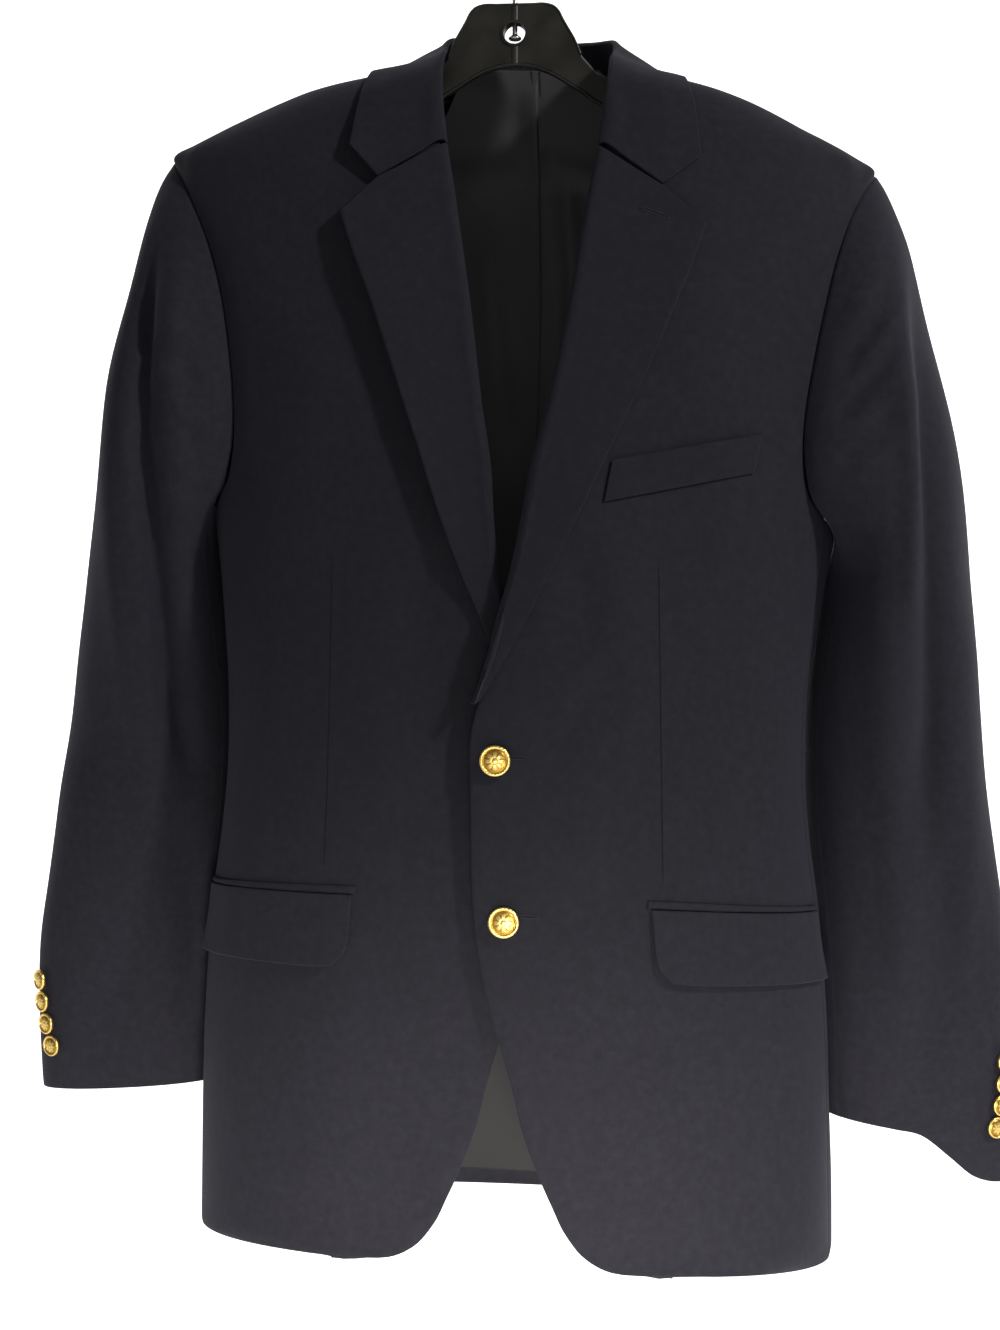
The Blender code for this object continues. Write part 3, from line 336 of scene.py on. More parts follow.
def body_normal(t, z, side, lift):
    """The outward normal of the leant body."""
    step = 0.05
    rise = 0.0002
    along = lean(body(t + step, z, lift), side) - lean(body(t - step, z, lift), side)
    up = lean(body(t, z + rise, lift), side) - lean(body(t, z - rise, lift), side)
    normal = along.cross(up) * side
    return normal.normalized()


def bezier(start, first, second, end, s):
    return start * (1 - s) ** 3 + first * 3 * s * (1 - s) ** 2 + second * 3 * s * s * (1 - s) + end * s ** 3


def pull_in(grid, amount):
    """Draws the four edges of a grid in, which leaves the seam gap."""
    rows = len(grid)
    columns = len(grid[0])
    moved = [[p.copy() for p in row] for row in grid]
    for c in range(columns):
        moved[0][c] += (grid[1][c] - grid[0][c]).normalized() * amount
        moved[-1][c] += (grid[-2][c] - grid[-1][c]).normalized() * amount
    for r in range(rows):
        moved[r][0] += (grid[r][1] - grid[r][0]).normalized() * amount
        moved[r][-1] += (grid[r][-2] - grid[r][-1]).normalized() * amount
    return moved


def grid_normals(grid, outward):
    """Normals of a grid by differences, turned to agree with a direction or a function of the point."""
    rows = len(grid)
    columns = len(grid[0])
    found = []
    for r in range(rows):
        line = []
        for c in range(columns):
            across = grid[r][min(c + 1, columns - 1)] - grid[r][max(c - 1, 0)]
            along = grid[min(r + 1, rows - 1)][c] - grid[max(r - 1, 0)][c]
            line.append(across.cross(along).normalized())
        found.append(line)
    middle = found[rows // 2][columns // 2]
    sign = 1 if middle.dot(outward) > 0 else -1
    return [[n * sign for n in line] for line in found]


def row_between(start, end, columns, set_back=0.0):
    """Angle and height along a panel row, which may start a share of its length late."""
    shares = [set_back + (1 - set_back) * c / (columns - 1) for c in range(columns)]
    return [(start[0] + (end[0] - start[0]) * s, start[1] + (end[1] - start[1]) * s) for s in shares]


# Fine sheets over the coarse ones
CELLS = 5  # fine cells in each coarse cell
TUCK_DEPTH = 0.003  # how far a tucked-in row lies under its neighbour's face
TUCK_FADE = 0.03  # folds come up over this length below a tucked-in row
FOLD_HOLD = 0.016  # folds die out this close to a seam
DITCH = 0.0008  # how far cloth dips at a seam, and over what width
DITCH_WIDTH = 0.0032
RIM = 0.0006  # radius of a rounded edge
RIM_STEPS = (0.0005, 0.0012, 0.0024)  # extra rows this far in from an edge
SURFACES = {}  # search trees of the finished outer faces, by piece


def hermite(samples, knots, places, breaks=()):
    """Values between samples along the first axis, smooth except at the breaks."""
    steps = np.diff(knots)
    rise = np.diff(samples, axis=0) / steps[:, None, None]
    before = np.concatenate([rise[:1], rise])
    after = np.concatenate([rise, rise[-1:]])
    left = np.concatenate([steps[:1], steps])[:, None, None]
    right = np.concatenate([steps, steps[-1:]])[:, None, None]
    tangent = (after * left + before * right) / (left + right)
    starts = tangent.copy()
    ends = tangent.copy()
    for k in breaks:
        starts[k] = after[k]
        ends[k] = before[k]
    i = np.clip(places.astype(int), 0, len(samples) - 2)
    s = (places - i)[:, None, None]
    h = steps[i][:, None, None]
    out = samples[i] * (1 + 2 * s) * (1 - s) ** 2 + starts[i] * h * s * (1 - s) ** 2
    return out + samples[i + 1] * s * s * (3 - 2 * s) + ends[i + 1] * h * s * s * (s - 1)


def places_along(count, cells, knots):
    """Fractional places of the fine rows, with extra ones beside both edges."""
    found = list(np.linspace(0, count - 1, (count - 1) * cells + 1))
    first = knots[1] - knots[0]
    last = knots[-1] - knots[-2]
    found += [step / first for step in RIM_STEPS if step < first / cells * 0.8]
    found += [count - 1 - step / last for step in RIM_STEPS if step < last / cells * 0.8]
    return np.array(sorted(found))


def knots_of(points):
    """Mean distance run between the samples along the first axis."""
    steps = np.linalg.norm(np.diff(points, axis=0), axis=2).mean(axis=1)
    return np.concatenate([[0.0], np.cumsum(np.maximum(steps, 1e-5))])


def unit(vectors):
    return vectors / np.maximum(np.linalg.norm(vectors, axis=-1, keepdims=True), 1e-9)


def normals_of(points):
    """Unit normals of a grid of points."""
    return unit(np.cross(np.gradient(points, axis=1), np.gradient(points, axis=0)))


def normals_towards(points, guide):
    """Unit normals of a grid of points, on the side that the guide points to."""
    found = normals_of(points)
    return found if np.dot(found[len(found) // 2, found.shape[1] // 2], guide) > 0 else -found


def edge_distance(points):
    """How far each point of a grid is from the grid's nearest edge."""
    across = np.cumsum(np.linalg.norm(np.diff(points, axis=1, prepend=points[:, :1]), axis=2), axis=1)
    along = np.cumsum(np.linalg.norm(np.diff(points, axis=0, prepend=points[:1]), axis=2), axis=0)
    sides = np.minimum(across, across[:, -1:] - across)
    ends = np.minimum(along, along[-1:] - along)
    return np.minimum(sides, ends), across, along


def linked(item):
    bpy.context.scene.collection.objects.link(item)
    return item


def new_piece(name, points, faces, slot):
    """A smooth object of one material."""
    mesh = bpy.data.meshes.new(name)
    mesh.from_pydata(points, [], faces)
    mesh.polygons.foreach_set("use_smooth", np.ones(len(mesh.polygons), bool))
    mesh.materials.append(slot)
    return linked(bpy.data.objects.new(name, mesh))


def quads(index):
    """The faces between the points of a grid of indices."""
    return np.stack([index[:-1, :-1], index[:-1, 1:], index[1:, 1:], index[1:, :-1]], axis=-1).reshape(-1, 4)


def thin_solid(name, outer, inner, across, along, slot):
    """A closed mesh from two like grids, with the cloth's own lengths as its UVs in metres."""
    rows, columns = outer.shape[:2]
    points = np.concatenate([outer.reshape(-1, 3), inner.reshape(-1, 3)])
    index = np.arange(rows * columns).reshape(rows, columns)
    shift = rows * columns
    loop = np.concatenate([index[0, :-1], index[:-1, -1], index[-1, :0:-1], index[:0:-1, 0]])
    following = np.roll(loop, -1)
    walls = np.stack([following, loop, loop + shift, following + shift], axis=-1)
    faces = np.concatenate([quads(index), quads(index + shift)[:, [0, 3, 2, 1]], walls])
    middle = outer[rows // 2, columns // 2] - inner[rows // 2, columns // 2]
    if np.dot(middle, normals_of(outer)[rows // 2, columns // 2]) < 0:
        faces = faces[:, ::-1]
    item = new_piece(name, points.tolist(), faces.tolist(), slot)
    mesh = item.data
    flat = np.stack([np.tile(across.reshape(-1), 2), np.tile(along.reshape(-1), 2)], axis=1)
    corners = np.zeros(len(mesh.loops), np.int32)
    mesh.loops.foreach_get("vertex_index", corners)
    layer = mesh.uv_layers.new(name="cloth")
    layer.data.foreach_set("uv", flat[corners].astype(np.float32).reshape(-1))
    return item


def slab(name, grid, normals, wall, slot):
    """A fine sheet of cloth through a coarse grid: folded, rounded at its edges, and closed."""
    look = SHEETS.get(name, {})
    points = np.array([[tuple(p) for p in line] for line in grid])
    tuck = look.get("tuck", 0.0)
    if tuck:
        away = unit(points[0] - points[1])
        under = np.array([tuple(n) for n in normals[0]])
        points = np.concatenate([(points[0] + away * tuck - under * TUCK_DEPTH)[None], points])
        normals = [normals[0], *normals]
    rows, columns = points.shape[:2]
    cells = look.get("cells", CELLS)
    down = knots_of(points)
    over = knots_of(points.transpose(1, 0, 2))
    points = hermite(points, down, places_along(rows, cells, down), (1,) if tuck else ()).transpose(1, 0, 2)
    breaks = look.get("breaks", ())
    points = hermite(points, over, places_along(columns, cells, over), breaks).transpose(1, 0, 2)
    guide = np.array(normals[rows // 2][columns // 2])
    around = normals_towards(points, guide)
    far, across, along = edge_distance(points)
    first = points[1:, 1:] - points[:-1, :-1]
    second = points[1:, :-1] - points[:-1, 1:]
    area = 0.5 * np.linalg.norm(np.cross(first, second), axis=2).sum()
    shape = folds_of(look.get("folds", name), points, around)
    if "folds" not in look:
        shape *= fade(far, 0.0, look.get("hold", FOLD_HOLD))
    if tuck:
        shape *= fade(along, tuck, tuck + TUCK_FADE)
    shape -= look.get("ditch", DITCH) * np.exp(-((far / DITCH_WIDTH) ** 2))
    points = points + around * shape[..., None]
    around = normals_towards(points, guide)
    rim = min(wall / 2, look.get("rim", RIM))
    reach = np.clip(1 - far / rim, 0, 1)
    round_off = rim * (1 - np.sqrt(1 - reach ** 2 * 0.98))
    outer = points - around * round_off[..., None]
    inner = points - around * (wall - round_off)[..., None]
    item = thin_solid(name, outer, inner, across, along, slot)
    index = np.arange(far.size).reshape(far.shape)
    SURFACES[name] = BVHTree.FromPolygons(outer.reshape(-1, 3).tolist(), quads(index).tolist())
    item["flat"] = (float(across[:, -1].max()), float(along[-1].max()), float(area))
    return item


# Folds
def along_line(x, z, line):
    """Signed distance from a polyline in x and z, and the share of it run at the nearest point."""
    best = np.full(x.shape, 1e9)
    signed = np.zeros(x.shape)
    share = np.zeros(x.shape)
    lengths = [math.dist(a, b) for a, b in zip(line[:-1], line[1:])]
    total = sum(lengths)
    run = 0.0
    for (ax, az), (bx, bz), length in zip(line[:-1], line[1:], lengths):
        ux, uz = (bx - ax) / length, (bz - az) / length
        s = np.clip((x - ax) * ux + (z - az) * uz, 0, length)
        gap = np.hypot(x - ax - ux * s, z - az - uz * s)
        nearer = gap < best
        side = np.sign((x - ax) * uz - (z - az) * ux)
        signed = np.where(nearer, gap * side, signed)
        share = np.where(nearer, (run + s) / total, share)
        best = np.minimum(best, gap)
        run += length
    return signed, share


def fade(value, low, high):
    s = np.clip((value - low) / (high - low), 0, 1)
    return s * s * (3 - 2 * s)


def folds_of(name, points, around):
    """Height off the sheet at each point: its listed folds, then a slow waviness."""
    x, y, z = points[..., 0], points[..., 1], points[..., 2]
    total = np.zeros(x.shape)
    for height, width, lee, face, line in FOLDS.get(name, ()):
        far, share = along_line(x, z, line)
        wide = np.where(far > 0, width * lee, width)
        ends = fade(share, 0.0, 0.22) * fade(1 - share, 0.0, 0.22)
        facing = fade(-around[..., 1] * face, -0.25, 0.35) if face else 1.0
        total += height * np.exp(-((far / wide) ** 2)) * ends * facing
    slow = WAVES.get(name, 0.0)
    if slow:
        seed = sum(ord(letter) for letter in name)
        for k in range(5):
            turn = seed * 0.7 + k * 2.1
            wave = np.sin(x * (38 + 17 * k) + z * (9 + 6 * k) + y * 23 + turn)
            total += slow * wave * np.sin(z * (14 + 5 * k) + turn * 1.7) / (1 + 0.5 * k)
    return total


# Which sheets need more than the usual, by piece, and how much each waves
SIDES = ("left", "right")
SHEETS = {
    "collar": {"breaks": (8,), "ditch": 0.0},
    "chest_welt": {"cells": 6, "ditch": 0.0},
    "lining": {"cells": 3, "ditch": 0.0, "hold": 0.004},
}
WAVES = {"lining": 0.0005}
for word in SIDES:
    SHEETS[word + "_lapel"] = {"breaks": (9,), "cells": 4, "ditch": 0.0}
    SHEETS[word + "_flap"] = {"ditch": 0.0, "rim": 0.0009}
    SHEETS[word + "_jet"] = {"ditch": 0.0002}
    WAVES.update({word + "_front": 0.0004, word + "_side": 0.0004, word + "_back": 0.00045})
    for sleeve in (word + "_top_sleeve", word + "_under_sleeve"):
        SHEETS[sleeve] = {"cells": 6, "ditch": 0.0004, "hold": 0.01, "tuck": 0.0045}
        WAVES[sleeve] = 0.0006
# What lies on a front takes the front's folds, so that both move as one.
for piece in ("left_lapel", "left_flap", "left_jet", "chest_welt", "right_lapel", "right_flap", "right_jet"):
    SHEETS[piece]["folds"] = "right_front" if piece.startswith("right") else "left_front"

# Height, width, its share on the far side, facing (1 front, -1 back, 0 both), then the line in x and z.
RIGHT_SLEEVE_FOLDS = (
    (-0.013, 0.0095, 0.7, 1, (
        (-0.24, -0.225), (-0.247, -0.3), (-0.244, -0.39), (-0.236, -0.47), (-0.232, -0.57), (-0.222, -0.64))),
    (0.005, 0.013, 1.0, 1, ((-0.266, -0.27), (-0.266, -0.42), (-0.258, -0.56), (-0.25, -0.7))),
    (0.004, 0.009, 1.3, 1, ((-0.222, -0.25), (-0.222, -0.34), (-0.214, -0.46), (-0.212, -0.56))),
    (-0.003, 0.006, 1.4, 1, ((-0.236, -0.318), (-0.218, -0.338), (-0.203, -0.352))),
    (-0.0028, 0.0065, 1.4, 1, ((-0.24, -0.352), (-0.222, -0.378), (-0.2, -0.392))),
    (-0.0016, 0.006, 1.2, 1, ((-0.238, -0.395), (-0.216, -0.42), (-0.198, -0.428))),
    (-0.003, 0.012, 1.0, 1, ((-0.23, -0.64), (-0.226, -0.73), (-0.232, -0.81))),
    (-0.004, 0.014, 1.0, -1, ((-0.262, -0.27), (-0.27, -0.38), (-0.262, -0.5), (-0.27, -0.6))),
    (0.003, 0.013, 1.0, -1, ((-0.238, -0.33), (-0.24, -0.47), (-0.232, -0.62))),
    (-0.0022, 0.008, 1.2, -1, ((-0.3, -0.56), (-0.262, -0.585), (-0.228, -0.6))),
    (-0.002, 0.008, 1.2, -1, ((-0.305, -0.64), (-0.27, -0.652), (-0.236, -0.655))),
)
LEFT_SLEEVE_FOLDS = (
    (-0.011, 0.011, 0.9, 1, ((0.27, -0.25), (0.278, -0.36), (0.28, -0.47), (0.282, -0.57), (0.278, -0.69))),
    (0.004, 0.0085, 0.9, 1, ((0.26, -0.33), (0.268, -0.42), (0.266, -0.52))),
    (0.003, 0.014, 1.0, 1, ((0.246, -0.42), (0.25, -0.56), (0.262, -0.7), (0.268, -0.8))),
    (-0.003, 0.013, 1.0, 1, ((0.292, -0.64), (0.288, -0.74), (0.276, -0.85))),
    (0.0032, 0.011, 1.0, 1, ((0.306, -0.48), (0.309, -0.62), (0.306, -0.76))),
    (-0.0036, 0.006, 1.4, 1, ((0.256, -0.288), (0.238, -0.322), (0.215, -0.352))),
    (-0.0032, 0.006, 1.4, 1, ((0.26, -0.322), (0.24, -0.352), (0.214, -0.384))),
    (-0.0016, 0.006, 1.4, 1, ((0.258, -0.37), (0.238, -0.392), (0.212, -0.412))),
    (-0.004, 0.014, 1.0, -1, ((0.268, -0.27), (0.276, -0.4), (0.268, -0.52), (0.278, -0.64))),
    (0.003, 0.013, 1.0, -1, ((0.244, -0.33), (0.248, -0.48), (0.242, -0.64))),
    (-0.0024, 0.008, 1.2, -1, ((0.305, -0.575), (0.27, -0.605), (0.236, -0.612))),
    (-0.0018, 0.008, 1.2, -1, ((0.312, -0.66), (0.276, -0.672), (0.244, -0.678))),
)
FOLDS = {
    "right_top_sleeve": RIGHT_SLEEVE_FOLDS,
    "right_under_sleeve": RIGHT_SLEEVE_FOLDS,
    "left_top_sleeve": LEFT_SLEEVE_FOLDS,
    "left_under_sleeve": LEFT_SLEEVE_FOLDS,
    "right_front": (
        (-0.0022, 0.015, 1.0, 1, ((-0.05, -0.455), (-0.052, -0.52), (-0.045, -0.56))),
        (0.0018, 0.02, 1.0, 1, ((-0.078, -0.47), (-0.08, -0.56), (-0.07, -0.64))),
        (-0.0018, 0.011, 1.2, 1, ((-0.036, -0.585), (-0.066, -0.56), (-0.09, -0.52))),
        (-0.0016, 0.012, 1.0, 1, ((-0.03, -0.64), (-0.08, -0.63), (-0.14, -0.605))),
        (0.0016, 0.024, 1.0, 1, ((-0.12, -0.3), (-0.135, -0.4), (-0.15, -0.5))),
        (0.0022, 0.03, 1.0, 1, ((-0.11, -0.74), (-0.12, -0.82), (-0.13, -0.9))),
        (-0.0018, 0.026, 1.0, 1, ((-0.05, -0.76), (-0.055, -0.83), (-0.07, -0.9))),
    ),
    "left_front": (
        (-0.0026, 0.013, 1.2, 1, ((0.048, -0.445), (0.052, -0.49), (0.056, -0.545))),
        (0.002, 0.016, 1.0, 1, ((0.078, -0.455), (0.082, -0.53), (0.078, -0.61))),
        (-0.0018, 0.011, 1.2, 1, ((0.018, -0.605), (0.056, -0.57), (0.088, -0.52))),
        (-0.0016, 0.013, 1.0, 1, ((0.024, -0.705), (0.066, -0.69), (0.12, -0.655))),
        (0.0016, 0.024, 1.0, 1, ((0.13, -0.3), (0.145, -0.4), (0.16, -0.5))),
        (0.0024, 0.03, 1.0, 1, ((0.09, -0.79), (0.1, -0.86), (0.105, -0.92))),
        (-0.002, 0.024, 1.0, 1, ((0.17, -0.78), (0.172, -0.85), (0.168, -0.91))),
    ),
    "left_back": (
        (-0.0018, 0.022, 1.0, -1, ((0.15, -0.3), (0.14, -0.4), (0.12, -0.5))),
        (0.0026, 0.024, 1.0, -1, ((0.11, -0.28), (0.1, -0.4), (0.08, -0.52))),
        (-0.0016, 0.014, 1.2, -1, ((0.02, -0.52), (0.08, -0.545), (0.15, -0.54))),
        (-0.0018, 0.014, 1.2, -1, ((0.015, -0.59), (0.07, -0.61), (0.14, -0.6))),
        (0.0028, 0.026, 1.0, -1, ((0.12, -0.65), (0.135, -0.76), (0.14, -0.88))),
        (-0.0016, 0.01, 1.2, -1, ((0.01, -0.165), (0.05, -0.178), (0.09, -0.172))),
    ),
    "right_back": (
        (-0.0018, 0.022, 1.0, -1, ((-0.155, -0.29), (-0.14, -0.39), (-0.115, -0.49))),
        (0.0026, 0.024, 1.0, -1, ((-0.105, -0.29), (-0.095, -0.41), (-0.075, -0.53))),
        (-0.0016, 0.014, 1.2, -1, ((-0.015, -0.54), (-0.08, -0.56), (-0.15, -0.55))),
        (-0.0016, 0.014, 1.2, -1, ((-0.012, -0.6), (-0.072, -0.625), (-0.14, -0.62))),
        (0.0026, 0.026, 1.0, -1, ((-0.125, -0.65), (-0.13, -0.77), (-0.138, -0.88))),
        (-0.0014, 0.01, 1.2, -1, ((0.004, -0.168), (-0.04, -0.176), (-0.08, -0.168))),
    ),
    "lining": (
        (-0.0014, 0.007, 1.0, 0, ((0.016, -0.195), (0.02, -0.23), (0.024, -0.28), (0.02, -0.33))),
        (0.0085, 0.006, 1.0, 0, ((0.03, -0.185), (0.034, -0.23), (0.036, -0.28), (0.03, -0.35))),
        (-0.0016, 0.006, 1.0, 0, ((0.046, -0.18), (0.048, -0.23), (0.046, -0.29))),
        (0.005, 0.009, 1.0, 0, ((0.01, -0.178), (0.034, -0.186), (0.06, -0.196))),
        (-0.0014, 0.012, 1.0, 0, ((-0.05, -0.215), (-0.02, -0.225), (0.004, -0.222))),
        (0.0045, 0.012, 1.0, 0, ((-0.05, -0.188), (-0.025, -0.19), (0.004, -0.186))),
        (0.006, 0.008, 1.0, 0, ((-0.03, -0.23), (-0.026, -0.27), (-0.022, -0.33), (-0.006, -0.4))),
        (-0.0014, 0.009, 1.0, 0, ((-0.044, -0.3), (-0.03, -0.37), (-0.014, -0.44))),
        (0.002, 0.014, 1.0, 0, ((-0.08, -0.5), (-0.09, -0.7), (-0.08, -0.85))),
        (-0.0012, 0.014, 1.0, 0, ((0.08, -0.5), (0.1, -0.7), (0.09, -0.85))),
    ),
}


# Materials
def feed(socket, value):
    """Links an output to an input, or sets the input's value."""
    if isinstance(value, bpy.types.NodeSocket):
        socket.id_data.links.new(value, socket)
    else:
        socket.default_value = value


def node(tree, kind, feeds=(), **settings):
    """A node with its settings, and its inputs fed by name or place."""
    made = tree.nodes.new(kind)
    for name, value in settings.items():
        setattr(made, name, value)
    for key, value in dict(feeds).items():
        feed(made.inputs[key], value)
    return made


def calc(tree, operation, *values):
    """A math node's result from sockets or numbers."""
    return node(tree, "ShaderNodeMath", enumerate(values), operation=operation).outputs[0]


def noise(tree, place, scale, detail=2.0):
    return node(tree, "ShaderNodeTexNoise", {"Vector": place, "Scale": scale, "Detail": detail}).outputs[0]


def axes(tree, vector):
    return node(tree, "ShaderNodeSeparateXYZ", {0: vector}).outputs


def stretched(tree, place, scale):
    return node(tree, "ShaderNodeMapping", {0: place, "Scale": scale}).outputs[0]


def object_place(tree):
    return node(tree, "ShaderNodeTexCoord").outputs["Object"]


def cloth_place(tree):
    return node(tree, "ShaderNodeUVMap", uv_map="cloth").outputs[0]


def group(name, inputs, outputs):
    """A node group of numbers: its tree, what it is given, and what it gives."""
    made = bpy.data.node_groups.new(name, "ShaderNodeTree")
    for label, value in inputs:
        socket = made.interface.new_socket(name=label, in_out="INPUT", socket_type="NodeSocketFloat")
        socket.default_value = value
    for label in outputs:
        made.interface.new_socket(name=label, in_out="OUTPUT", socket_type="NodeSocketFloat")
    return made, made.nodes.new("NodeGroupInput").outputs, made.nodes.new("NodeGroupOutput").inputs


def twill_weave():
    """Fine diagonal weave with wool fuzz: a height and a mottled shade."""
    tree, given, out = group("Twill Weave", (("Ribs per metre", 1500.0), ("Fuzz", 0.5)), ("Height", "Shade"))
    u, v, _ = axes(tree, cloth_place(tree))
    ribs = calc(tree, "MULTIPLY", calc(tree, "ADD", u, v), calc(tree, "MULTIPLY", given[0], 6.283))
    floats = calc(tree, "MULTIPLY", calc(tree, "SUBTRACT", u, v), calc(tree, "MULTIPLY", given[0], 3.1))
    weave = calc(tree, "MULTIPLY_ADD", calc(tree, "SINE", floats), 0.35, calc(tree, "SINE", ribs))
    place = object_place(tree)
    fuzz = noise(tree, place, 1500.0, 3.0)
    mottle = noise(tree, place, 190.0, 4.0)
    fluffy = calc(tree, "MULTIPLY", fuzz, calc(tree, "MULTIPLY", given[1], 4.0))
    feed(out[0], calc(tree, "ADD", calc(tree, "MULTIPLY", weave, 0.25), fluffy))
    shade = calc(tree, "MULTIPLY_ADD", weave, 0.025, calc(tree, "MULTIPLY", mottle, 0.75))
    feed(out[1], calc(tree, "ADD", shade, calc(tree, "MULTIPLY", fuzz, 0.25)))
    return tree


def dart_line_mask():
    """The mask of a dart's seam between two points in x and z: a thin line on forward faces, which the wool
    paints with shade.
    """
    ends = (("Top X", 0.0), ("Top Z", 0.0), ("Bottom X", 0.0), ("Bottom Z", -0.1), ("Width", 0.0009))
    tree, given, out = group("Dart Line Mask", ends, ("Mask",))
    top_x, top_z, low_x, low_z, width = given[:5]
    x, _, z = axes(tree, object_place(tree))
    share = calc(tree, "DIVIDE", calc(tree, "SUBTRACT", z, low_z), calc(tree, "SUBTRACT", top_z, low_z))
    middle = calc(tree, "MULTIPLY_ADD", share, calc(tree, "SUBTRACT", top_x, low_x), low_x)
    gap = calc(tree, "ABSOLUTE", calc(tree, "SUBTRACT", x, middle))
    line = calc(tree, "SUBTRACT", 1.0, calc(tree, "DIVIDE", gap, width))
    above = calc(tree, "MULTIPLY", calc(tree, "SUBTRACT", 1.0, share), 12.0)
    below = calc(tree, "MULTIPLY", share, 12.0)
    faded = calc(tree, "MINIMUM", calc(tree, "MINIMUM", above, below), 1.0)
    mask = calc(tree, "MULTIPLY", calc(tree, "MAXIMUM", line, 0.0), calc(tree, "MAXIMUM", faded, 0.0))
    ahead = calc(tree, "LESS_THAN", axes(tree, node(tree, "ShaderNodeNewGeometry").outputs["Normal"])[1], 0.0)
    feed(out[0], calc(tree, "MULTIPLY", mask, ahead))
    return tree


def new_material(name, colour, feeds):
    """A material with these shader inputs: itself, its tree and the inputs."""
    made = bpy.data.materials.new(name)
    made.use_nodes = True
    shader = made.node_tree.nodes["Principled BSDF"].inputs
    for key, value in {"Base Color": (*colour, 1.0), **feeds}.items():
        feed(shader[key], value)
    return made, made.node_tree, shader


def ramp(tree, factor, rows):
    """A colour ramp from rows of place and colour."""
    made = node(tree, "ShaderNodeValToRGB", {0: factor})
    elements = made.color_ramp.elements
    while len(elements) < len(rows):
        elements.new(0.5)
    for element, (place, colour) in zip(elements, rows):
        element.position = place
        element.color = (*colour, 1.0)
    return made.outputs[0]


def bump(tree, height, distance, strength, shader):
    made = node(tree, "ShaderNodeBump", {"Height": height, "Distance": distance, "Strength": strength})
    feed(shader["Normal"], made.outputs[0])


def times(colour, share):
    return tuple(c * share for c in colour)


def wool(name, colour, groups, dart=None):
    """Navy wool twill, a little lighter where the fuzz stands, with a dart's line where there is one: a bump
    groove, and painted shade in its colour.
    """
    made, tree, shader = new_material(name, colour, {
        "Roughness": 0.82, "Specular IOR Level": 0.15, "Sheen Weight": 0.06, "Sheen Roughness": 0.5,
        "Sheen Tint": (0.55, 0.56, 0.75, 1.0)})
    weave = node(tree, "ShaderNodeGroup", {"Fuzz": 0.45}, node_tree=groups["weave"]).outputs
    rows = ((0.22, times(colour, 0.72)), (0.5, colour), (0.8, times(colour, 1.42)))
    shade = ramp(tree, weave["Shade"], rows)
    height = weave["Height"]
    if dart:
        line = node(tree, "ShaderNodeGroup", enumerate(dart), node_tree=groups["line"]).outputs[0]
        # painted shade: the dart's line is coloured a quarter as bright as the wool, for the shade in its
        # seam; the bump below also sinks it
        painted_dart_shade = (*times(colour, 0.25), 1.0)
        shade = node(tree, "ShaderNodeMix", {0: line, 6: shade, 7: painted_dart_shade}, data_type="RGBA").outputs[2]
        height = calc(tree, "MULTIPLY_ADD", line, -4.0, height)
    bump(tree, height, 0.00022, 0.55, shader)
    feed(shader["Base Color"], shade)
    return made


def satin(name, colour):
    """Smooth lining satin with a faint crossing grain, with painted light and shade by height: painted
    lighter in the neck and painted darker at the hem.
    """
    made, tree, shader = new_material(name, colour, {
        "Specular IOR Level": 0.2, "Sheen Weight": 0.05, "Sheen Roughness": 0.4})
    grain = noise(tree, stretched(tree, cloth_place(tree), (2600.0, 300.0, 1.0)), 1.0)
    high = calc(tree, "ADD", axes(tree, object_place(tree))[2], 1.0)
    ramp_factor = calc(tree, "MULTIPLY_ADD", grain, 0.08, high)
    # painted light and shade: near black at the hem, up to over three times the lining's colour high on the
    # back and in the neck, by height
    rows = ((0.22, times(colour, 0.14)), (0.44, colour), (0.72, times(colour, 3.2)), (0.9, colour))
    feed(shader["Base Color"], ramp(tree, ramp_factor, rows))
    feed(shader["Roughness"], calc(tree, "MULTIPLY_ADD", grain, 0.16, 0.5))
    bump(tree, grain, 0.0001, 0.3, shader)
    return made


def old_gold(name, colour):
    """Gilt buttons: bright on the relief, browner in its recesses, finely scuffed."""
    made, tree, shader = new_material(name, colour, {"Metallic": 1.0})
    relief = node(tree, "ShaderNodeAttribute", attribute_name="relief").outputs["Fac"]
    scuff = noise(tree, object_place(tree), 1400.0, 4.0)
    ramp_factor = calc(tree, "MULTIPLY_ADD", scuff, 0.25, relief)
    recess = tuple(c * k for c, k in zip(colour, (0.42, 0.34, 0.22)))
    bright = (min(colour[0] * 1.15, 1.0), min(colour[1] * 1.2, 1.0), colour[2] * 1.5)
    feed(shader["Base Color"], ramp(tree, ramp_factor, ((0.12, recess), (0.45, colour), (1.0, bright))))
    feed(shader["Roughness"], calc(tree, "MULTIPLY_ADD", scuff, 0.22, 0.2))
    bump(tree, scuff, 0.00004, 0.25, shader)
    return made


def moulded_plastic(name, colour):
    """Dark moulded plastic with a soft gloss, faint flow marks and rub marks."""
    made, tree, shader = new_material(name, colour, {"Specular IOR Level": 0.3})
    place = object_place(tree)
    flow = noise(tree, place, 55.0, 5.0)
    feed(shader["Base Color"], ramp(tree, flow, ((0.3, times(colour, 0.75)), (0.7, times(colour, 1.5)))))
    feed(shader["Roughness"], calc(tree, "MULTIPLY_ADD", flow, 0.25, 0.26))
    bump(tree, noise(tree, place, 2200.0), 0.00005, 0.25, shader)
    return made


def bright_steel(name, colour):
    """Plated wire, drawn lengthwise."""
    made, tree, shader = new_material(name, colour, {"Metallic": 1.0})
    drawn = noise(tree, stretched(tree, object_place(tree), (500.0, 500.0, 40.0)), 1.0)
    feed(shader["Base Color"], ramp(tree, drawn, ((0.35, times(colour, 0.7)), (0.6, colour))))
    feed(shader["Roughness"], calc(tree, "MULTIPLY_ADD", drawn, 0.12, 0.24))
    bump(tree, drawn, 0.00001, 0.1, shader)
    return made


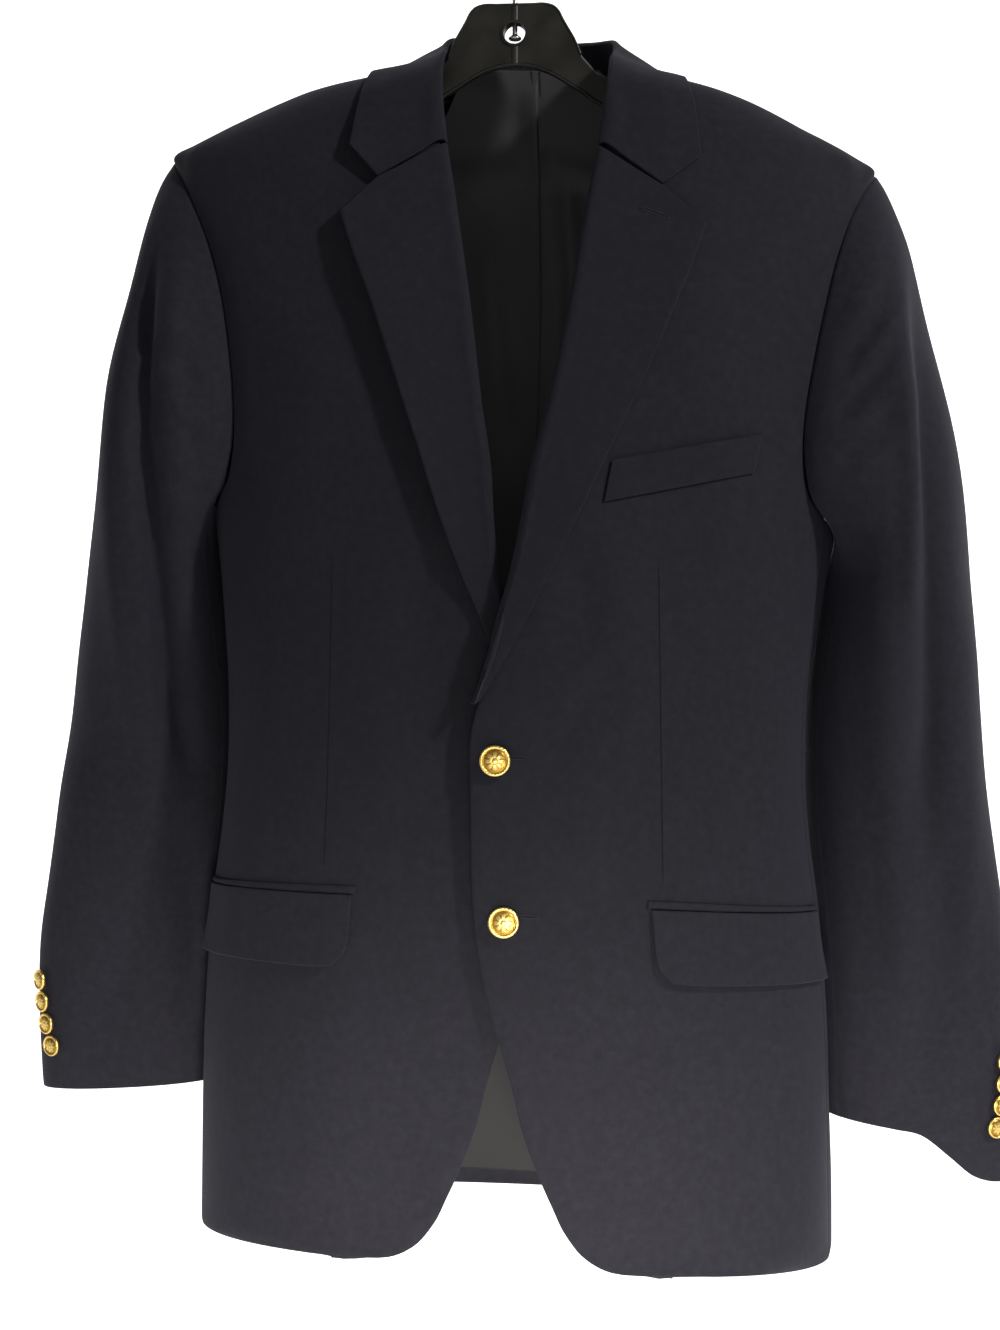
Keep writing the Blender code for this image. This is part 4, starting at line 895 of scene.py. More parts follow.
# The garment's panels
FRONT_COLUMNS = 12
BACK_COLUMNS = 9
SIDE_COLUMNS = 5
SLEEVE_POWER = 2.15  # roundness of the sleeve's level rings
CUFF_SLOPE = {1: 0.014, -1: 0.013}  # how far a cuff drops to its outer side
CUFF_DIP = {1: 0.026, -1: 0.0}  # and the wearer's left one's outer part besides
CUFF_LEVEL = (-0.8435, -0.72)  # the heights between which that comes in
SEARCH = 0.03  # how far off the body a face is looked for
ARM = ARM_FRONT + ARM_UNDER + ARM_BACK


def front_edges():
    """Both ends of every row of a front panel, from the hem to the shoulder seam."""
    left = [(angle_of(x, z), z) for x, z, _, _ in FRONT_ROWS]
    right = [(t, z) for _, _, t, z in FRONT_ROWS]
    for z, t, beside in ROLL_ROWS:
        left.append((angle_of(roll_x(z) + PANEL_SET_BACK, z), z))
        right.append((t, beside))
    for z in ROLL_TOP_ROWS:
        left.append((angle_of(roll_x(z) + PANEL_SET_BACK, z), z))
    return left + list(NECK_FRONT), right + list(reversed(ARM_FRONT))


def back_edges(underlap):
    """Both ends of every row of a back panel. The underlap runs past centre back below the vent's top."""
    left = []
    for z, _, _ in BACK_ROWS:
        past = 0.0
        if underlap and z < UNDERLAP_TOP:
            half = BODY_TRACK.at(z)[0]
            past = math.degrees(math.asin((VENT_UNDERLAP / half) ** (SECTION_POWER / 2)))
        left.append((180.0 + past, z))
    left += [(180.0, z) for z in BACK_TOP_ROWS]
    return left + list(NECK_BACK), [(t, z) for _, t, z in BACK_ROWS] + list(ARM_BACK)


def panel_rows(edges, columns):
    """The rows of a panel. Those that end at the neck stop short of the collar."""
    left, right = edges
    last = len(left) - len(NECK_FRONT)
    rows = []
    for i, (a, b) in enumerate(zip(left, right)):
        late = NECK_SET_BACK if i >= last else 0.0
        if i == last and a[0] == 180.0:
            a = (a[0], a[1] - NECK_DROP)
            late = 0.0
        rows.append(row_between(a, b, columns, late))
    return rows


def panel(name, rows, side, lift, wall, slot):
    """A panel of the body from rows of angle and height."""
    normals = [[body_normal(t, z, side, lift) for t, z in row] for row in rows]
    grid = [[lean(body(t, z, lift), side) for t, z in row] for row in rows]
    return slab(name, pull_in(grid, SEAM), normals, wall, slot)


def front_panel(name, side, lift, wall, slot):
    return panel(name, panel_rows(front_edges(), FRONT_COLUMNS), side, lift, wall, slot)


def back_panel(name, side, lift, wall, slot):
    return panel(name, panel_rows(back_edges(side < 0), BACK_COLUMNS), side, lift, wall, slot)


def side_panel(name, side, wall, slot):
    front = front_edges()[1][:len(FRONT_ROWS) + len(ROLL_ROWS)]
    back = back_edges(False)[1][:len(BACK_ROWS)]
    rows = [row_between(a, b, SIDE_COLUMNS) for a, b in zip(front, back)]
    rows.append(list(ARM[10:15]))
    return panel(name, rows, side, no_lift, wall, slot)


def ring_point(step, z, side):
    """A point of a sleeve's level ring: step 0 is outermost, a quarter of the steps is the front."""
    inner, outer, front, back = SLEEVE_TRACK.at(z)
    angle = 2 * math.pi * step / RING_STEPS
    power = 2 / SLEEVE_POWER
    reach = math.copysign(abs(math.cos(angle)) ** power, math.cos(angle))
    depth = math.copysign(abs(math.sin(angle)) ** power, math.sin(angle))
    x = (inner + outer) / 2 + (outer - inner) / 2 * reach
    y = (front + back) / 2 - (back - front) / 2 * depth
    share = (x - inner) / (outer - inner)
    drop = CUFF_SLOPE[side] * share + CUFF_DIP[side] * soft(share, 0.45, 0.85)
    return lean((x, y, z - drop * (1 - soft(z, *CUFF_LEVEL))), side)


def armhole(side):
    """The armhole's points, the body's normals there, and the directions into the hole."""
    points = [lean(body(t, z, no_lift), side) for t, z in ARM[:-1]]
    normals = [body_normal(t, z, side, no_lift) for t, z in ARM[:-1]]
    centre = sum(points, Vector((0, 0, 0))) / len(points)
    inward = []
    for i, (p, n) in enumerate(zip(points, normals)):
        tangent = points[(i + 1) % len(points)] - points[i - 1]
        across = tangent.cross(n).normalized()
        inward.append(across if across.dot(centre - p) > 0 else -across)
    return points, normals, inward


def sleeve_grid(side):
    """The whole sleeve as closed rings from the armhole down, and its outward normals."""
    points, normals, inward = armhole(side)
    rows = []
    for k in range(CAP_ROWS):
        s = (k / CAP_ROWS) ** CAP_EASE
        ring = []
        for i in range(RING_STEPS):
            under = (1 - math.cos(2 * math.pi * i / RING_STEPS)) / 2
            puff = 1.6 * math.sqrt(under * (1 - under)) + 0.2 * under + 1.0 * (1 - under) ** 3
            away = inward[i] * (1 - under) ** 2 * 1.1 + normals[i] * puff
            away.z -= 0.25 + 0.6 * under
            away.normalize()
            start = points[i] + (inward[i] + normals[i] * under) * CAP_GAP
            end = ring_point(i, SLEEVE_HEIGHTS[0], side)
            up = (end - ring_point(i, SLEEVE_HEIGHTS[1], side)).normalized()
            reach = (end - start).length
            pull = 0.1 + 0.2 * min(1.0, under * 3) - 0.14 * max(0.0, under * 3 - 2)
            ring.append(bezier(start, start + away * reach * pull, end + up * reach * 0.45, end, s))
        rows.append(ring)
    for z in SLEEVE_HEIGHTS:
        rows.append([ring_point(i, z, side) for i in range(RING_STEPS)])
    found = []
    for r, ring in enumerate(rows):
        line = []
        for i in range(RING_STEPS):
            across = ring[(i + 1) % RING_STEPS] - ring[i - 1]
            along = rows[min(r + 1, len(rows) - 1)][i] - rows[max(r - 1, 0)][i]
            line.append(across.cross(along).normalized() * side)
        found.append(line)
    if found[-1][0].x * side < 0:
        found = [[-n for n in line] for line in found]
    return rows, found


def sleeve_part(name, side, first, last, wall, slot):
    rows, normals = sleeve_grid(side)
    steps = [i % RING_STEPS for i in range(first, last + 1)]
    grid = [[ring[i] for i in steps] for ring in rows]
    return slab(name, pull_in(grid, SEAM), [[line[i] for i in steps] for line in normals], wall, slot)


def tree_of(item):
    """A search tree of an object's faces."""
    faces = [list(polygon.vertices) for polygon in item.data.polygons]
    return BVHTree.FromPolygons([v.co.copy() for v in item.data.vertices], faces)


def on_body(tree, t, z, side, lift, height):
    """A point this far off the panel that was built, and the normal there."""
    normal = body_normal(t, z, side, lift)
    base = lean(body(t, z, lift), side)
    hit = tree.ray_cast(base + normal * SEARCH, -normal, 2 * SEARCH)
    if hit[0] is not None:
        base = hit[0]
    return base + normal * height, normal


LAPEL_START = (0.55, 0.75, 0.9)  # how much of the facing the lowest rows have
LEAF_SHARES = (0.16, 0.34, NOTCH_SHARE, 0.82, 1.0)  # across a leaf, from its rolled fold
FACING = 0.016  # width of the lapel's facing inside the fold
FACING_LOW = 0.009


def lapel(name, side, lift, tree, slot):
    """A lapel: short facing inside, rolled fold, then the leaf on the front."""
    grid = []
    for row, (z, edge_x, edge_z, rise) in enumerate(LAPEL_ROWS):
        edge_x += side * LEFT_LAPEL_WIDER * soft(edge_x, 0.02, 0.1)
        start_x = roll_x(z)
        centre = lean(body(angle_of(start_x, z), z, lift), side)
        normal = body_normal(angle_of(start_x, z), z, side, lift)
        across = lean(body(angle_of(edge_x, edge_z), edge_z, lift), side) - centre
        across -= normal * across.dot(normal)
        length = across.length
        across.normalize()
        taper = 1.0 if row > 2 else LAPEL_START[row]
        inside = FACING * taper if row > 1 else FACING_LOW
        line = []
        for along, out in ((inside, -0.0052), (inside * 0.5, -0.0052), (0.0022, -0.005), (-0.0008, -0.0034),
                           (-0.0014, -0.0008), (0.0, 0.002), (0.0028, 0.0036)):
            line.append(centre + across * min(along, length * 0.7 + 0.004) + normal * out)
        top = row == len(LAPEL_ROWS) - 1
        raised = rise if side < 0 else rise * 0.08
        for share in LEAF_SHARES:
            first, last, part = (start_x, z), (edge_x, edge_z), share
            if top and share <= NOTCH_SHARE:
                last, part = NOTCH, share / NOTCH_SHARE
            elif top:
                first, part = NOTCH, (share - NOTCH_SHARE) / (1 - NOTCH_SHARE)
            x = first[0] + (last[0] - first[0]) * part
            height = first[1] + (last[1] - first[1]) * part
            out = 0.0038 - 0.0006 * share + raised * share ** 1.6
            line.append(on_body(tree, angle_of(x, height), height, side, lift, out)[0])
        grid.append(line)
    normals = grid_normals(grid, Vector((0, -1, 0)))
    if normals[6][9].y > 0:
        normals = [[-n for n in line] for line in normals]
    return slab(name, grid, normals, LEAF_WALL, slot)


POCKET_END = 77.5  # angle of the hip pockets' outer ends
POCKET_Z = -0.6915
POCKET_DROP = 0.005  # how much lower the outer end is
JET_WALL = 0.0012
WELT_WALL = 0.0014


def patch(name, rows, columns, place, side, lift, tree, wall, slot):
    """A small sheet on a front. place(row, share across) gives a point's angle, height and stand-off."""
    grid = []
    for row in range(rows):
        spots = [place(row, column / (columns - 1)) for column in range(columns)]
        grid.append([on_body(tree, t, z, side, lift, out)[0] for t, z, out in spots])
    return slab(name, grid, grid_normals(grid, Vector((0, -1, 0))), wall, slot)


def flap_place(row, f):
    s = row / 5
    start = 0.0965 + 0.0035 * s + (0.0095 if row == 5 else 0.0018 if row == 4 else 0.0)
    z = POCKET_Z - POCKET_DROP * f - (0.0475 - 0.0025 * f) * s + (0.0012 if row == 5 and f == 0 else 0.0)
    low = angle_of(start, z)
    return low + (POCKET_END - low) * f, z, 0.0031 + 0.003 * s * s


def jet_place(row, f):
    z = POCKET_Z + 0.0004 - POCKET_DROP * f + 0.0055 * row / 2 * (1 - 0.4 * f)
    low = angle_of(0.0945, z)
    return low + (POCKET_END - low) * f, z, 0.0024 - 0.0004 * abs(row - 1)


def welt_place(row, f):
    s = row / 3
    x = 0.065 - 0.004 * s + (0.096 - 0.001 * s) * f
    z = -0.4055 + 0.0215 * f - (0.027 - 0.0015 * f) * s
    return angle_of(x, z), z, 0.0026


def outer_tree(sides):
    """The outer faces of both fronts and both backs, turned outwards."""
    points = []
    faces = []
    for side, edges, columns, lift in sides:
        rows = panel_rows(edges, columns)
        start = len(points)
        grid = [lean(body(t, z, lift), side) for row in rows for t, z in row]
        points += grid
        middle = (len(rows) // 2) * columns + columns // 2
        t, z = rows[len(rows) // 2][columns // 2]
        normal = (grid[middle + 1] - grid[middle]).cross(grid[middle + columns] - grid[middle])
        keep = normal.dot(body_normal(t, z, side, lift)) > 0
        for r in range(len(rows) - 1):
            for c in range(columns - 1):
                a = start + r * columns + c
                face = (a, a + 1, a + 1 + columns, a + columns)
                faces.append(face if keep else tuple(reversed(face)))
    return BVHTree.FromPolygons(points, faces)


def press_out(point, tree, height):
    """Moves a point out until it lies this far off the body. A point well beyond the body's edge stays."""
    near, normal, _, _ = tree.find_nearest(point)
    offset = point - near
    out = offset.dot(normal)
    if (offset - normal * out).length > 0.01 or out >= height:
        return point
    return point + normal * (height - out)


def collar(tree, lift_left, slot):
    """One collar: stand, rolled fold and leaf, from notch to notch round the neck."""
    gorge = (angle_of(roll_x(GORGE_Z) + PANEL_SET_BACK, GORGE_Z), GORGE_Z)
    neck = [gorge, *NECK_FRONT, *reversed(NECK_BACK[:-1])]
    stations = []
    for side in (1, -1):
        half = []
        lift = lift_left if side > 0 else no_lift
        for i, (t, z) in enumerate(neck):
            seam = lean(body(t, z, lift), side)
            fold = lean(Vector(COLLAR_FOLD[i]), side)
            wider = Vector((side * LEFT_LAPEL_WIDER * (1 - soft(i, 0, 5)), 0, 0))
            edge = lean(Vector(COLLAR_EDGE[i]) + wider, side)
            inward = (Vector((seam.x * 0.15, 0.0, fold.z)) - fold)
            inward.z = 0.0
            inward.normalize()
            climb = (fold - seam).normalized()
            if i == 0:
                normal = body_normal(t, z, side, lift)
                across = edge - fold
                across -= normal * across.dot(normal)
                across.normalize()
                up = Vector((0, 0.0006, 0.0012))
                centre = lean(body(angle_of(roll_x(GORGE_Z), GORGE_Z), GORGE_Z, lift), side) + up
                line = [centre + across * a + normal * n for a, n in COLLAR_END]
                notch = lean(body(angle_of(*NOTCH), NOTCH[1], lift), side) + normal * 0.0034 + up
                for share in COLLAR_SHARES:
                    if share <= NOTCH_SHARE:
                        line.append(line[5].lerp(notch, share / NOTCH_SHARE))
                    else:
                        line.append(notch.lerp(edge, (share - NOTCH_SHARE) / (1 - NOTCH_SHARE)))
            else:
                line = [
                    seam + climb * 0.003 + inward * 0.004 - Vector((0, 0, 0.003)),
                    seam + climb * 0.009 + inward * 0.0034,
                    fold - climb * 0.007 + inward * 0.0022,
                    fold + inward * 0.0012 - Vector((0, 0, 0.0022)),
                    fold - inward * 0.0012,
                    fold - inward * 0.0046 - Vector((0, 0, 0.0024)),
                ]
                for share in COLLAR_SHARES:
                    p = line[5].lerp(edge, share)
                    line.append(p - inward * (0.0032 if i > 2 else 0.0006) * math.sin(math.pi * share))
            raised = COLLAR_RAISED[i] if side < 0 and i < 2 else 0.0
            for k in range(6, 11):
                line[k] = press_out(line[k], tree, COLLAR_STAND_OFF + raised * ((k - 5) / 5) ** 1.6)
            half.append(line)
        stations.append(half)
    first, second = stations
    grid = first + list(reversed(second[:-1]))
    for line in grid:
        for k in range(6, 11):
            line[k] = press_out(line[k], tree, COLLAR_STAND_OFF)
    normals = grid_normals(grid, Vector((0, 1, 0.3)))
    return slab("collar", grid, normals, LEAF_WALL, slot)


# Lining
LINING_ROWS = (
    -0.912, -0.83, -0.76, -0.695, -0.62, -0.54, -0.46, -0.4, -0.35, -0.3, -0.26, -0.23, -0.205, -0.19,
    -0.178, -0.166, -0.155, -0.145, -0.136, -0.128, -0.12,
)
PLEAT_X = 0.0  # the lining's centre pleat before the garment's lean
PLEAT_DEPTH = 0.0034
NECK_LINING_TRACK = Track(NECK_LINING)


def lining_point(x, z):
    """A point of the lining: inside the back, then narrowing into the neck."""
    half, _, back = BODY_TRACK.at(min(z, -0.15))
    wide = back * (1 - min(abs(x) / half, 1.0) ** SECTION_POWER) ** (1 / SECTION_POWER) - WALL - 0.0048
    depth, _, roundness = NECK_LINING_TRACK.at(z)
    narrow = depth * (1 - min(abs(x) / roundness, 1.0) ** 2.4) ** 0.4
    share = soft(z, -0.2, -0.165)
    y = wide * (1 - share) + narrow * share
    lap = soft(x, PLEAT_X - 0.016, PLEAT_X) if x < PLEAT_X else 1 - soft(x, PLEAT_X, PLEAT_X + 0.0012)
    open_share = soft(z, -0.6, -0.3) * (1 - soft(z, -0.15, -0.125))
    return lean((x, y - PLEAT_DEPTH * lap * open_share, z))


def back_lining(slot):
    """One sheet of lining with its pressed centre pleat, from the hem to the neck."""
    shares = [-1.0, -0.85, -0.7, -0.55, -0.42, -0.3, -0.2, -0.12, -0.06]
    grid = []
    for z in LINING_ROWS:
        half = BODY_TRACK.at(z)[0] * 0.84
        reach = half + (NECK_LINING_TRACK.at(z)[1] - half) * soft(z, -0.195, -0.168)
        line = [lining_point(PLEAT_X + reach * s, z) for s in shares]
        line += [lining_point(PLEAT_X + dx, z) for dx in (-0.002, -0.0004, 0.0, 0.0005, 0.0013, 0.0024)]
        line += [lining_point(PLEAT_X - reach * s, z) for s in reversed(shares)]
        grid.append(line)
    normals = grid_normals(grid, Vector((0, -1, 0)))
    return slab("lining", grid, normals, LINING_WALL, slot)


# Buttons
ROSETTE_SHARE = 0.7  # of the button's radius
ROSETTE_RELIEF = 0.0005
ROPE_RELIEF = 0.0002
ROPE_STRANDS = 26


def button_profile(radius, shank):
    """Rows of radius, height and relief kind, from the middle of the face round to the shank's foot."""
    r = radius
    top = shank + 0.0031
    rows = [(0.001 * r, top, "rosette")]
    for k in range(1, 19):
        s = k / 18
        rows.append((ROSETTE_SHARE * r * s, top - 0.00055 * s * s, "rosette"))
    rows += [(0.735 * r, top - 0.00105, ""), (0.765 * r, top - 0.0011, "")]
    for k in range(9):
        turn = math.pi * (1 - k / 8)
        height = top - 0.00105 + 0.00075 * math.sin(turn)
        rows.append((0.885 * r + 0.105 * r * math.cos(turn), height, "rope"))
    for reach, drop in ((r, 0.0014), (r, 0.0022), (0.95 * r, 0.0027), (0.55 * r, 0.0029), (0.0016, 0.003)):
        rows.append((reach, top - drop, ""))
    rows += [(0.0014, shank * 0.5, ""), (0.0014, 0.0, ""), (0.0002, 0.0, "")]
    return rows


def rosette_height(share, angle):
    """An eight-petal flower with a round boss, as a height from 0 to 1."""
    petal = abs(math.cos(4 * angle))
    reach = 0.4 + 0.56 * petal ** 0.7
    body_part = max(0.0, 1 - (share / reach) ** 4) if share < reach else 0.0
    vein = 0.25 * math.exp(-((math.sin(4 * angle) / 0.16) ** 2)) if 0.3 < share < reach else 0.0
    boss = math.sqrt(max(0.0, 1 - (share / 0.24) ** 2))
    groove = math.exp(-(((share - 0.27) / 0.035) ** 2))
    return max(0.62 * body_part - vein - 0.5 * groove, boss, 0.0)


def gilt_button(name, centre, normal, radius, shank, around, slot):
    """A metal blazer button: rope edge, sunk ring and a rosette on a shallow dome."""
    axis = normal.normalized()
    side = axis.orthogonal().normalized()
    other = axis.cross(side)
    rows = button_profile(radius, shank)
    points = []
    relief = []
    for r, height, kind in rows:
        for i in range(around):
            angle = 2 * math.pi * i / around
            if kind == "rosette":
                shown = rosette_height(r / (ROSETTE_SHARE * radius), angle)
                height_here = height + ROSETTE_RELIEF * shown
                lift = shown
            elif kind == "rope":
                twist = 0.5 + 0.5 * math.sin(ROPE_STRANDS * angle + r / radius * ROPE_STRANDS)
                height_here = height + ROPE_RELIEF * twist
                lift = 0.25 + 0.75 * twist
            else:
                height_here = height
                lift = 0.05 if height > shank + 0.0018 and r < 0.8 * radius else 0.4
            reach = side * math.cos(angle) + other * math.sin(angle)
            points.append(tuple(centre + axis * height_here + reach * r))
            relief.append(lift)
    faces = []
    for k in range(len(rows) - 1):
        for i in range(around):
            j = (i + 1) % around
            faces.append((k * around + j, k * around + i, (k + 1) * around + i, (k + 1) * around + j))
    faces.append(tuple(range(around)))
    faces.append(tuple(reversed([(len(rows) - 1) * around + i for i in range(around)])))
    item = new_piece(name, points, faces, slot)
    item.data.attributes.new("relief", "FLOAT", "POINT").data.foreach_set("value", relief)
    return item


def cuff_places(side):
    """Centre and outward normal of each cuff button, on the sleeve's own cloth."""
    found = []
    for i, step in enumerate(CUFF_BUTTON_STEPS[side]):
        height = CUFF_BUTTON_TOP[side] - CUFF_BUTTON_PITCH * i
        z = height
        for _ in range(6):
            z += height - ring_point(step, z, side).z
        point = ring_point(step, z, side)
        around = ring_point(step + 0.1, z, side) - ring_point(step - 0.1, z, side)
        up = ring_point(step, z + 0.001, side) - ring_point(step, z - 0.001, side)
        normal = around.cross(up).normalized()
        found.append((point, normal if normal.x * side > 0 else -normal))
    return found


def seat(piece, point, normal):
    """The nearest spot of a finished sheet along a normal, or the point itself."""
    hit = SURFACES[piece].ray_cast(point + normal * 0.02, -normal, 0.05)
    return hit[0] if hit[0] is not None else point


# Round rods and threads
def rod(path, radii, sides, closed=False):
    """Points and faces of a round rod along a path, with a radius at each point."""
    points = []
    count = len(path)
    up = None
    for i in range(count):
        after = path[(i + 1) % count] if closed or i < count - 1 else path[i]
        before = path[i - 1] if closed or i > 0 else path[i]
        tangent = (after - before).normalized()
        if up is None:
            up = tangent.orthogonal().normalized()
        up = (up - tangent * up.dot(tangent)).normalized()
        other = tangent.cross(up)
        for k in range(sides):
            angle = 2 * math.pi * k / sides
            points.append(tuple(path[i] + (up * math.cos(angle) + other * math.sin(angle)) * radii[i]))
    faces = []
    for i in range(count if closed else count - 1):
        j = (i + 1) % count
        for k in range(sides):
            m = (k + 1) % sides
            faces.append((i * sides + k, i * sides + m, j * sides + m, j * sides + k))
    if not closed:
        faces.append(tuple(reversed(range(sides))))
        faces.append(tuple((count - 1) * sides + k for k in range(sides)))
    return points, faces


HOLE_STITCHES = 96
HOLE_HALF_WIDTH = 0.00095


def on_sheet(piece, x, z, height=0.0):
    """The point of a front's finished cloth straight behind x and z, lifted off it."""
    hit = SURFACES[piece].ray_cast(Vector((x, -0.4, z)), Vector((0, 1, 0)), 0.6)
    if hit[0] is None:
        raise RuntimeError(f"nothing of {piece} lies behind {x:.3f}, {z:.3f}")
    return hit[0] + (hit[1] if hit[1].y < 0 else -hit[1]) * height


def buttonhole(name, piece, x, z, length, drop, slot):
    """A worked buttonhole: a long loop of close stitches."""
    path = []
    for k in range(HOLE_STITCHES):
        angle = 2 * math.pi * k / HOLE_STITCHES
        along = length / 2 * math.copysign(abs(math.cos(angle)) ** 0.6, math.cos(angle))
        out = HOLE_HALF_WIDTH * math.copysign(abs(math.sin(angle)) ** 0.7, math.sin(angle))
        path.append(on_sheet(piece, x + along, z + out + along * drop, 0.00005))
    radii = [0.00048 + 0.00012 * (k % 2) for k in range(HOLE_STITCHES)]
    return new_piece(name, *rod(path, radii, 8, closed=True), slot)


# Hanger and hook
HUB_FACE = -0.0045
HUB_RIM_RADIUS = 0.0008
HUB_EDGE = (
    (0.0, -0.0856), (0.012, -0.0856), (0.022, -0.0857), (0.027, -0.0874), (0.0305, -0.0909),
    (0.0333, -0.0963),
    (0.0364, -0.1018), (0.041, -0.1098), (0.046, -0.1216),
)
HUB_ARCH = (
    (0.0, -0.1267), (0.012, -0.1282), (0.0225, -0.1319), (0.0275, -0.1344), (0.0311, -0.1366),
    (0.0339, -0.1384),
    (0.037, -0.1404), (0.0415, -0.1432), (0.0465, -0.1461), (0.054, -0.1525), (0.06, -0.1555),
)


def hub_rims(slot):
    """The thin raised beads that edge the hub's face, above and below."""
    points = []
    faces = []
    for line in (HUB_EDGE, HUB_ARCH):
        half = [Vector((x, HUB_FACE, z)) for x, z in line]
        whole = [Vector((-p.x, p.y, p.z)) for p in reversed(half[1:])] + half
        coarse = np.array([[tuple(p)] for p in whole])
        fine = hermite(coarse, knots_of(coarse), np.linspace(0, len(whole) - 1, len(whole) * 6))
        path = [Vector(p[0]) for p in fine]
        bead, around = rod(path, [HUB_RIM_RADIUS] * len(path), 10)
        faces += [[len(points) + v for v in face] for face in around]
        points += bead
    return new_piece("hub_rims", points, faces, slot)


HOOK_NECK = (  # height and radius up the hook's head, then its shank
    (-0.1092, 0.0036), (-0.1086, 0.0043), (-0.108, 0.0046), (-0.1074, 0.0043), (-0.1068, 0.0036),
    (-0.1058, 0.0022), (-0.105, HOOK_ROD_RADIUS), (-0.09, HOOK_ROD_RADIUS), (-0.062, HOOK_ROD_RADIUS),
)
HOOK_FROM = math.radians(-50)  # where the loop starts, and how far it runs round
HOOK_TURN = math.radians(255)


def wire_hook(slot):
    """The hook again, round: head in the window, shank, bend and open loop."""
    radius = HOOK_INNER_RADIUS + HOOK_ROD_RADIUS
    path = [Vector((0, 0, z)) for z, _ in HOOK_NECK]
    radii = [r for _, r in HOOK_NECK]

    def loop_point(angle):
        return Vector((radius * math.cos(angle), 0, radius * math.sin(angle) - HOOK_INNER_RADIUS))

    start = path[-1]
    end = loop_point(HOOK_FROM)
    along = Vector((-math.sin(HOOK_FROM), 0, math.cos(HOOK_FROM)))
    for k in range(1, 12):
        path.append(bezier(start, Vector((0, 0, -0.051)), end - along * 0.01, end, k / 12))
    path += [loop_point(HOOK_FROM + HOOK_TURN * k / 56) for k in range(57)]
    step = (path[-1] - path[-2]).normalized()
    radii += [HOOK_ROD_RADIUS] * (len(path) - len(radii))
    for reach, share in ((0.0005, 0.93), (0.001, 0.72), (0.0012, 0.45)):
        path.append(path[-1] + step * reach * 0.5)
        radii.append(HOOK_ROD_RADIUS * share)
    return new_piece("wire_hook", *rod(path, radii, 20), slot)


# Stage
PHOTO_SCALE = 2191.0  # the lens's focal length in pixels of the photo's frame
PHOTO_WIDTH = 1000
PHOTO_HEIGHT = 1330
SENSOR = 24.0
VIEW_TURN = math.radians(5.0)
VIEW_DISTANCE = 1.515
VIEW_HEIGHT = -0.51
VIEW_CENTRE = (515.0, 620.0)  # the pixel that the lens looks straight at
FLOOR_Z = -1.25
FLOOR_REACH = 6.0
FLOOR_BACK = 1.6  # where the paper starts to turn up
TURN_UP = 0.9
WALL_TOP = 4.0
GLOW = 0.78  # how strongly the paper shines behind the blazer
SKY = 0.21


def aim(item, place, along):
    """Puts an object at a place, looking along a direction."""
    item.location = place
    item.rotation_euler = along.to_track_quat("-Z", "Y").to_euler()


def studio_camera():
    data = bpy.data.cameras.new("camera")
    data.sensor_fit = "VERTICAL"
    data.sensor_height = SENSOR
    data.lens = PHOTO_SCALE / PHOTO_HEIGHT * SENSOR
    data.shift_x = (PHOTO_WIDTH / 2 - VIEW_CENTRE[0]) / PHOTO_HEIGHT
    data.shift_y = (VIEW_CENTRE[1] - PHOTO_HEIGHT / 2) / PHOTO_HEIGHT
    item = linked(bpy.data.objects.new("camera", data))
    away = Vector((math.sin(VIEW_TURN), -math.cos(VIEW_TURN), 0.0))
    aim(item, away * VIEW_DISTANCE + Vector((0, 0, VIEW_HEIGHT)), -away)
    bpy.context.scene.camera = item


def lamp(name, kind, place, target, power, colour, **settings):
    data = bpy.data.lights.new(name, kind)
    for key, value in {"energy": power, "color": colour, **settings}.items():
        setattr(data, key, value)
    aim(linked(bpy.data.objects.new(name, data)), place, Vector(target) - Vector(place))


def glow_behind(tree, shader, strength):
    """Lets the paper behind the blazer glow white, and fades that out towards the viewer."""
    fade_in = node(tree, "ShaderNodeMapRange", {
        "Value": axes(tree, object_place(tree))[1], "From Min": -1.2, "From Max": 0.85, "To Min": 0.18,
        "To Max": strength}, interpolation_type="SMOOTHSTEP")
    feed(shader["Emission Strength"], fade_in.outputs["Result"])
    feed(shader["Emission Color"], (1.0, 1.0, 1.0, 1.0))


def backdrop(slot):
    """Pale floor that turns up into a wall behind."""
    profile = [(-FLOOR_REACH, FLOOR_Z), (FLOOR_BACK, FLOOR_Z)]
    for k in range(1, 13):
        angle = math.pi / 2 * k / 12
        profile.append((FLOOR_BACK + TURN_UP * math.sin(angle), FLOOR_Z + TURN_UP * (1 - math.cos(angle))))
    profile.append((FLOOR_BACK + TURN_UP, WALL_TOP))
    points = [(x, y, z) for y, z in profile for x in (-FLOOR_REACH, FLOOR_REACH)]
    faces = [(2 * i, 2 * i + 1, 2 * i + 3, 2 * i + 2) for i in range(len(profile) - 1)]
    return new_piece("backdrop", points, faces, slot)


# What a user would change
def colour_setting(name, description, default):
    return bpy.props.FloatVectorProperty(
        name=name, description="Colour of " + description, subtype="COLOR", size=3, min=0, max=1,
        default=default,
    )


class BlazerSettings(bpy.types.PropertyGroup):
    wool: colour_setting("Wool", "the blazer's cloth", (0.0106, 0.0103, 0.0145))
    lapel: colour_setting("Lapels", "the lapels and collar", (0.0098, 0.0094, 0.0136))
    lining: colour_setting("Lining", "the lining", (0.04, 0.039, 0.04))
    gold: colour_setting("Buttons", "the gilt buttons", (0.83, 0.58, 0.16))
    plastic: colour_setting("Hanger", "the moulded hanger", (0.014, 0.0135, 0.011))
    wall: bpy.props.FloatProperty(
        name="Cloth thickness", description="Thickness of the shell cloth", subtype="DISTANCE", unit="LENGTH",
        min=0.001, max=0.003, default=WALL,
    )


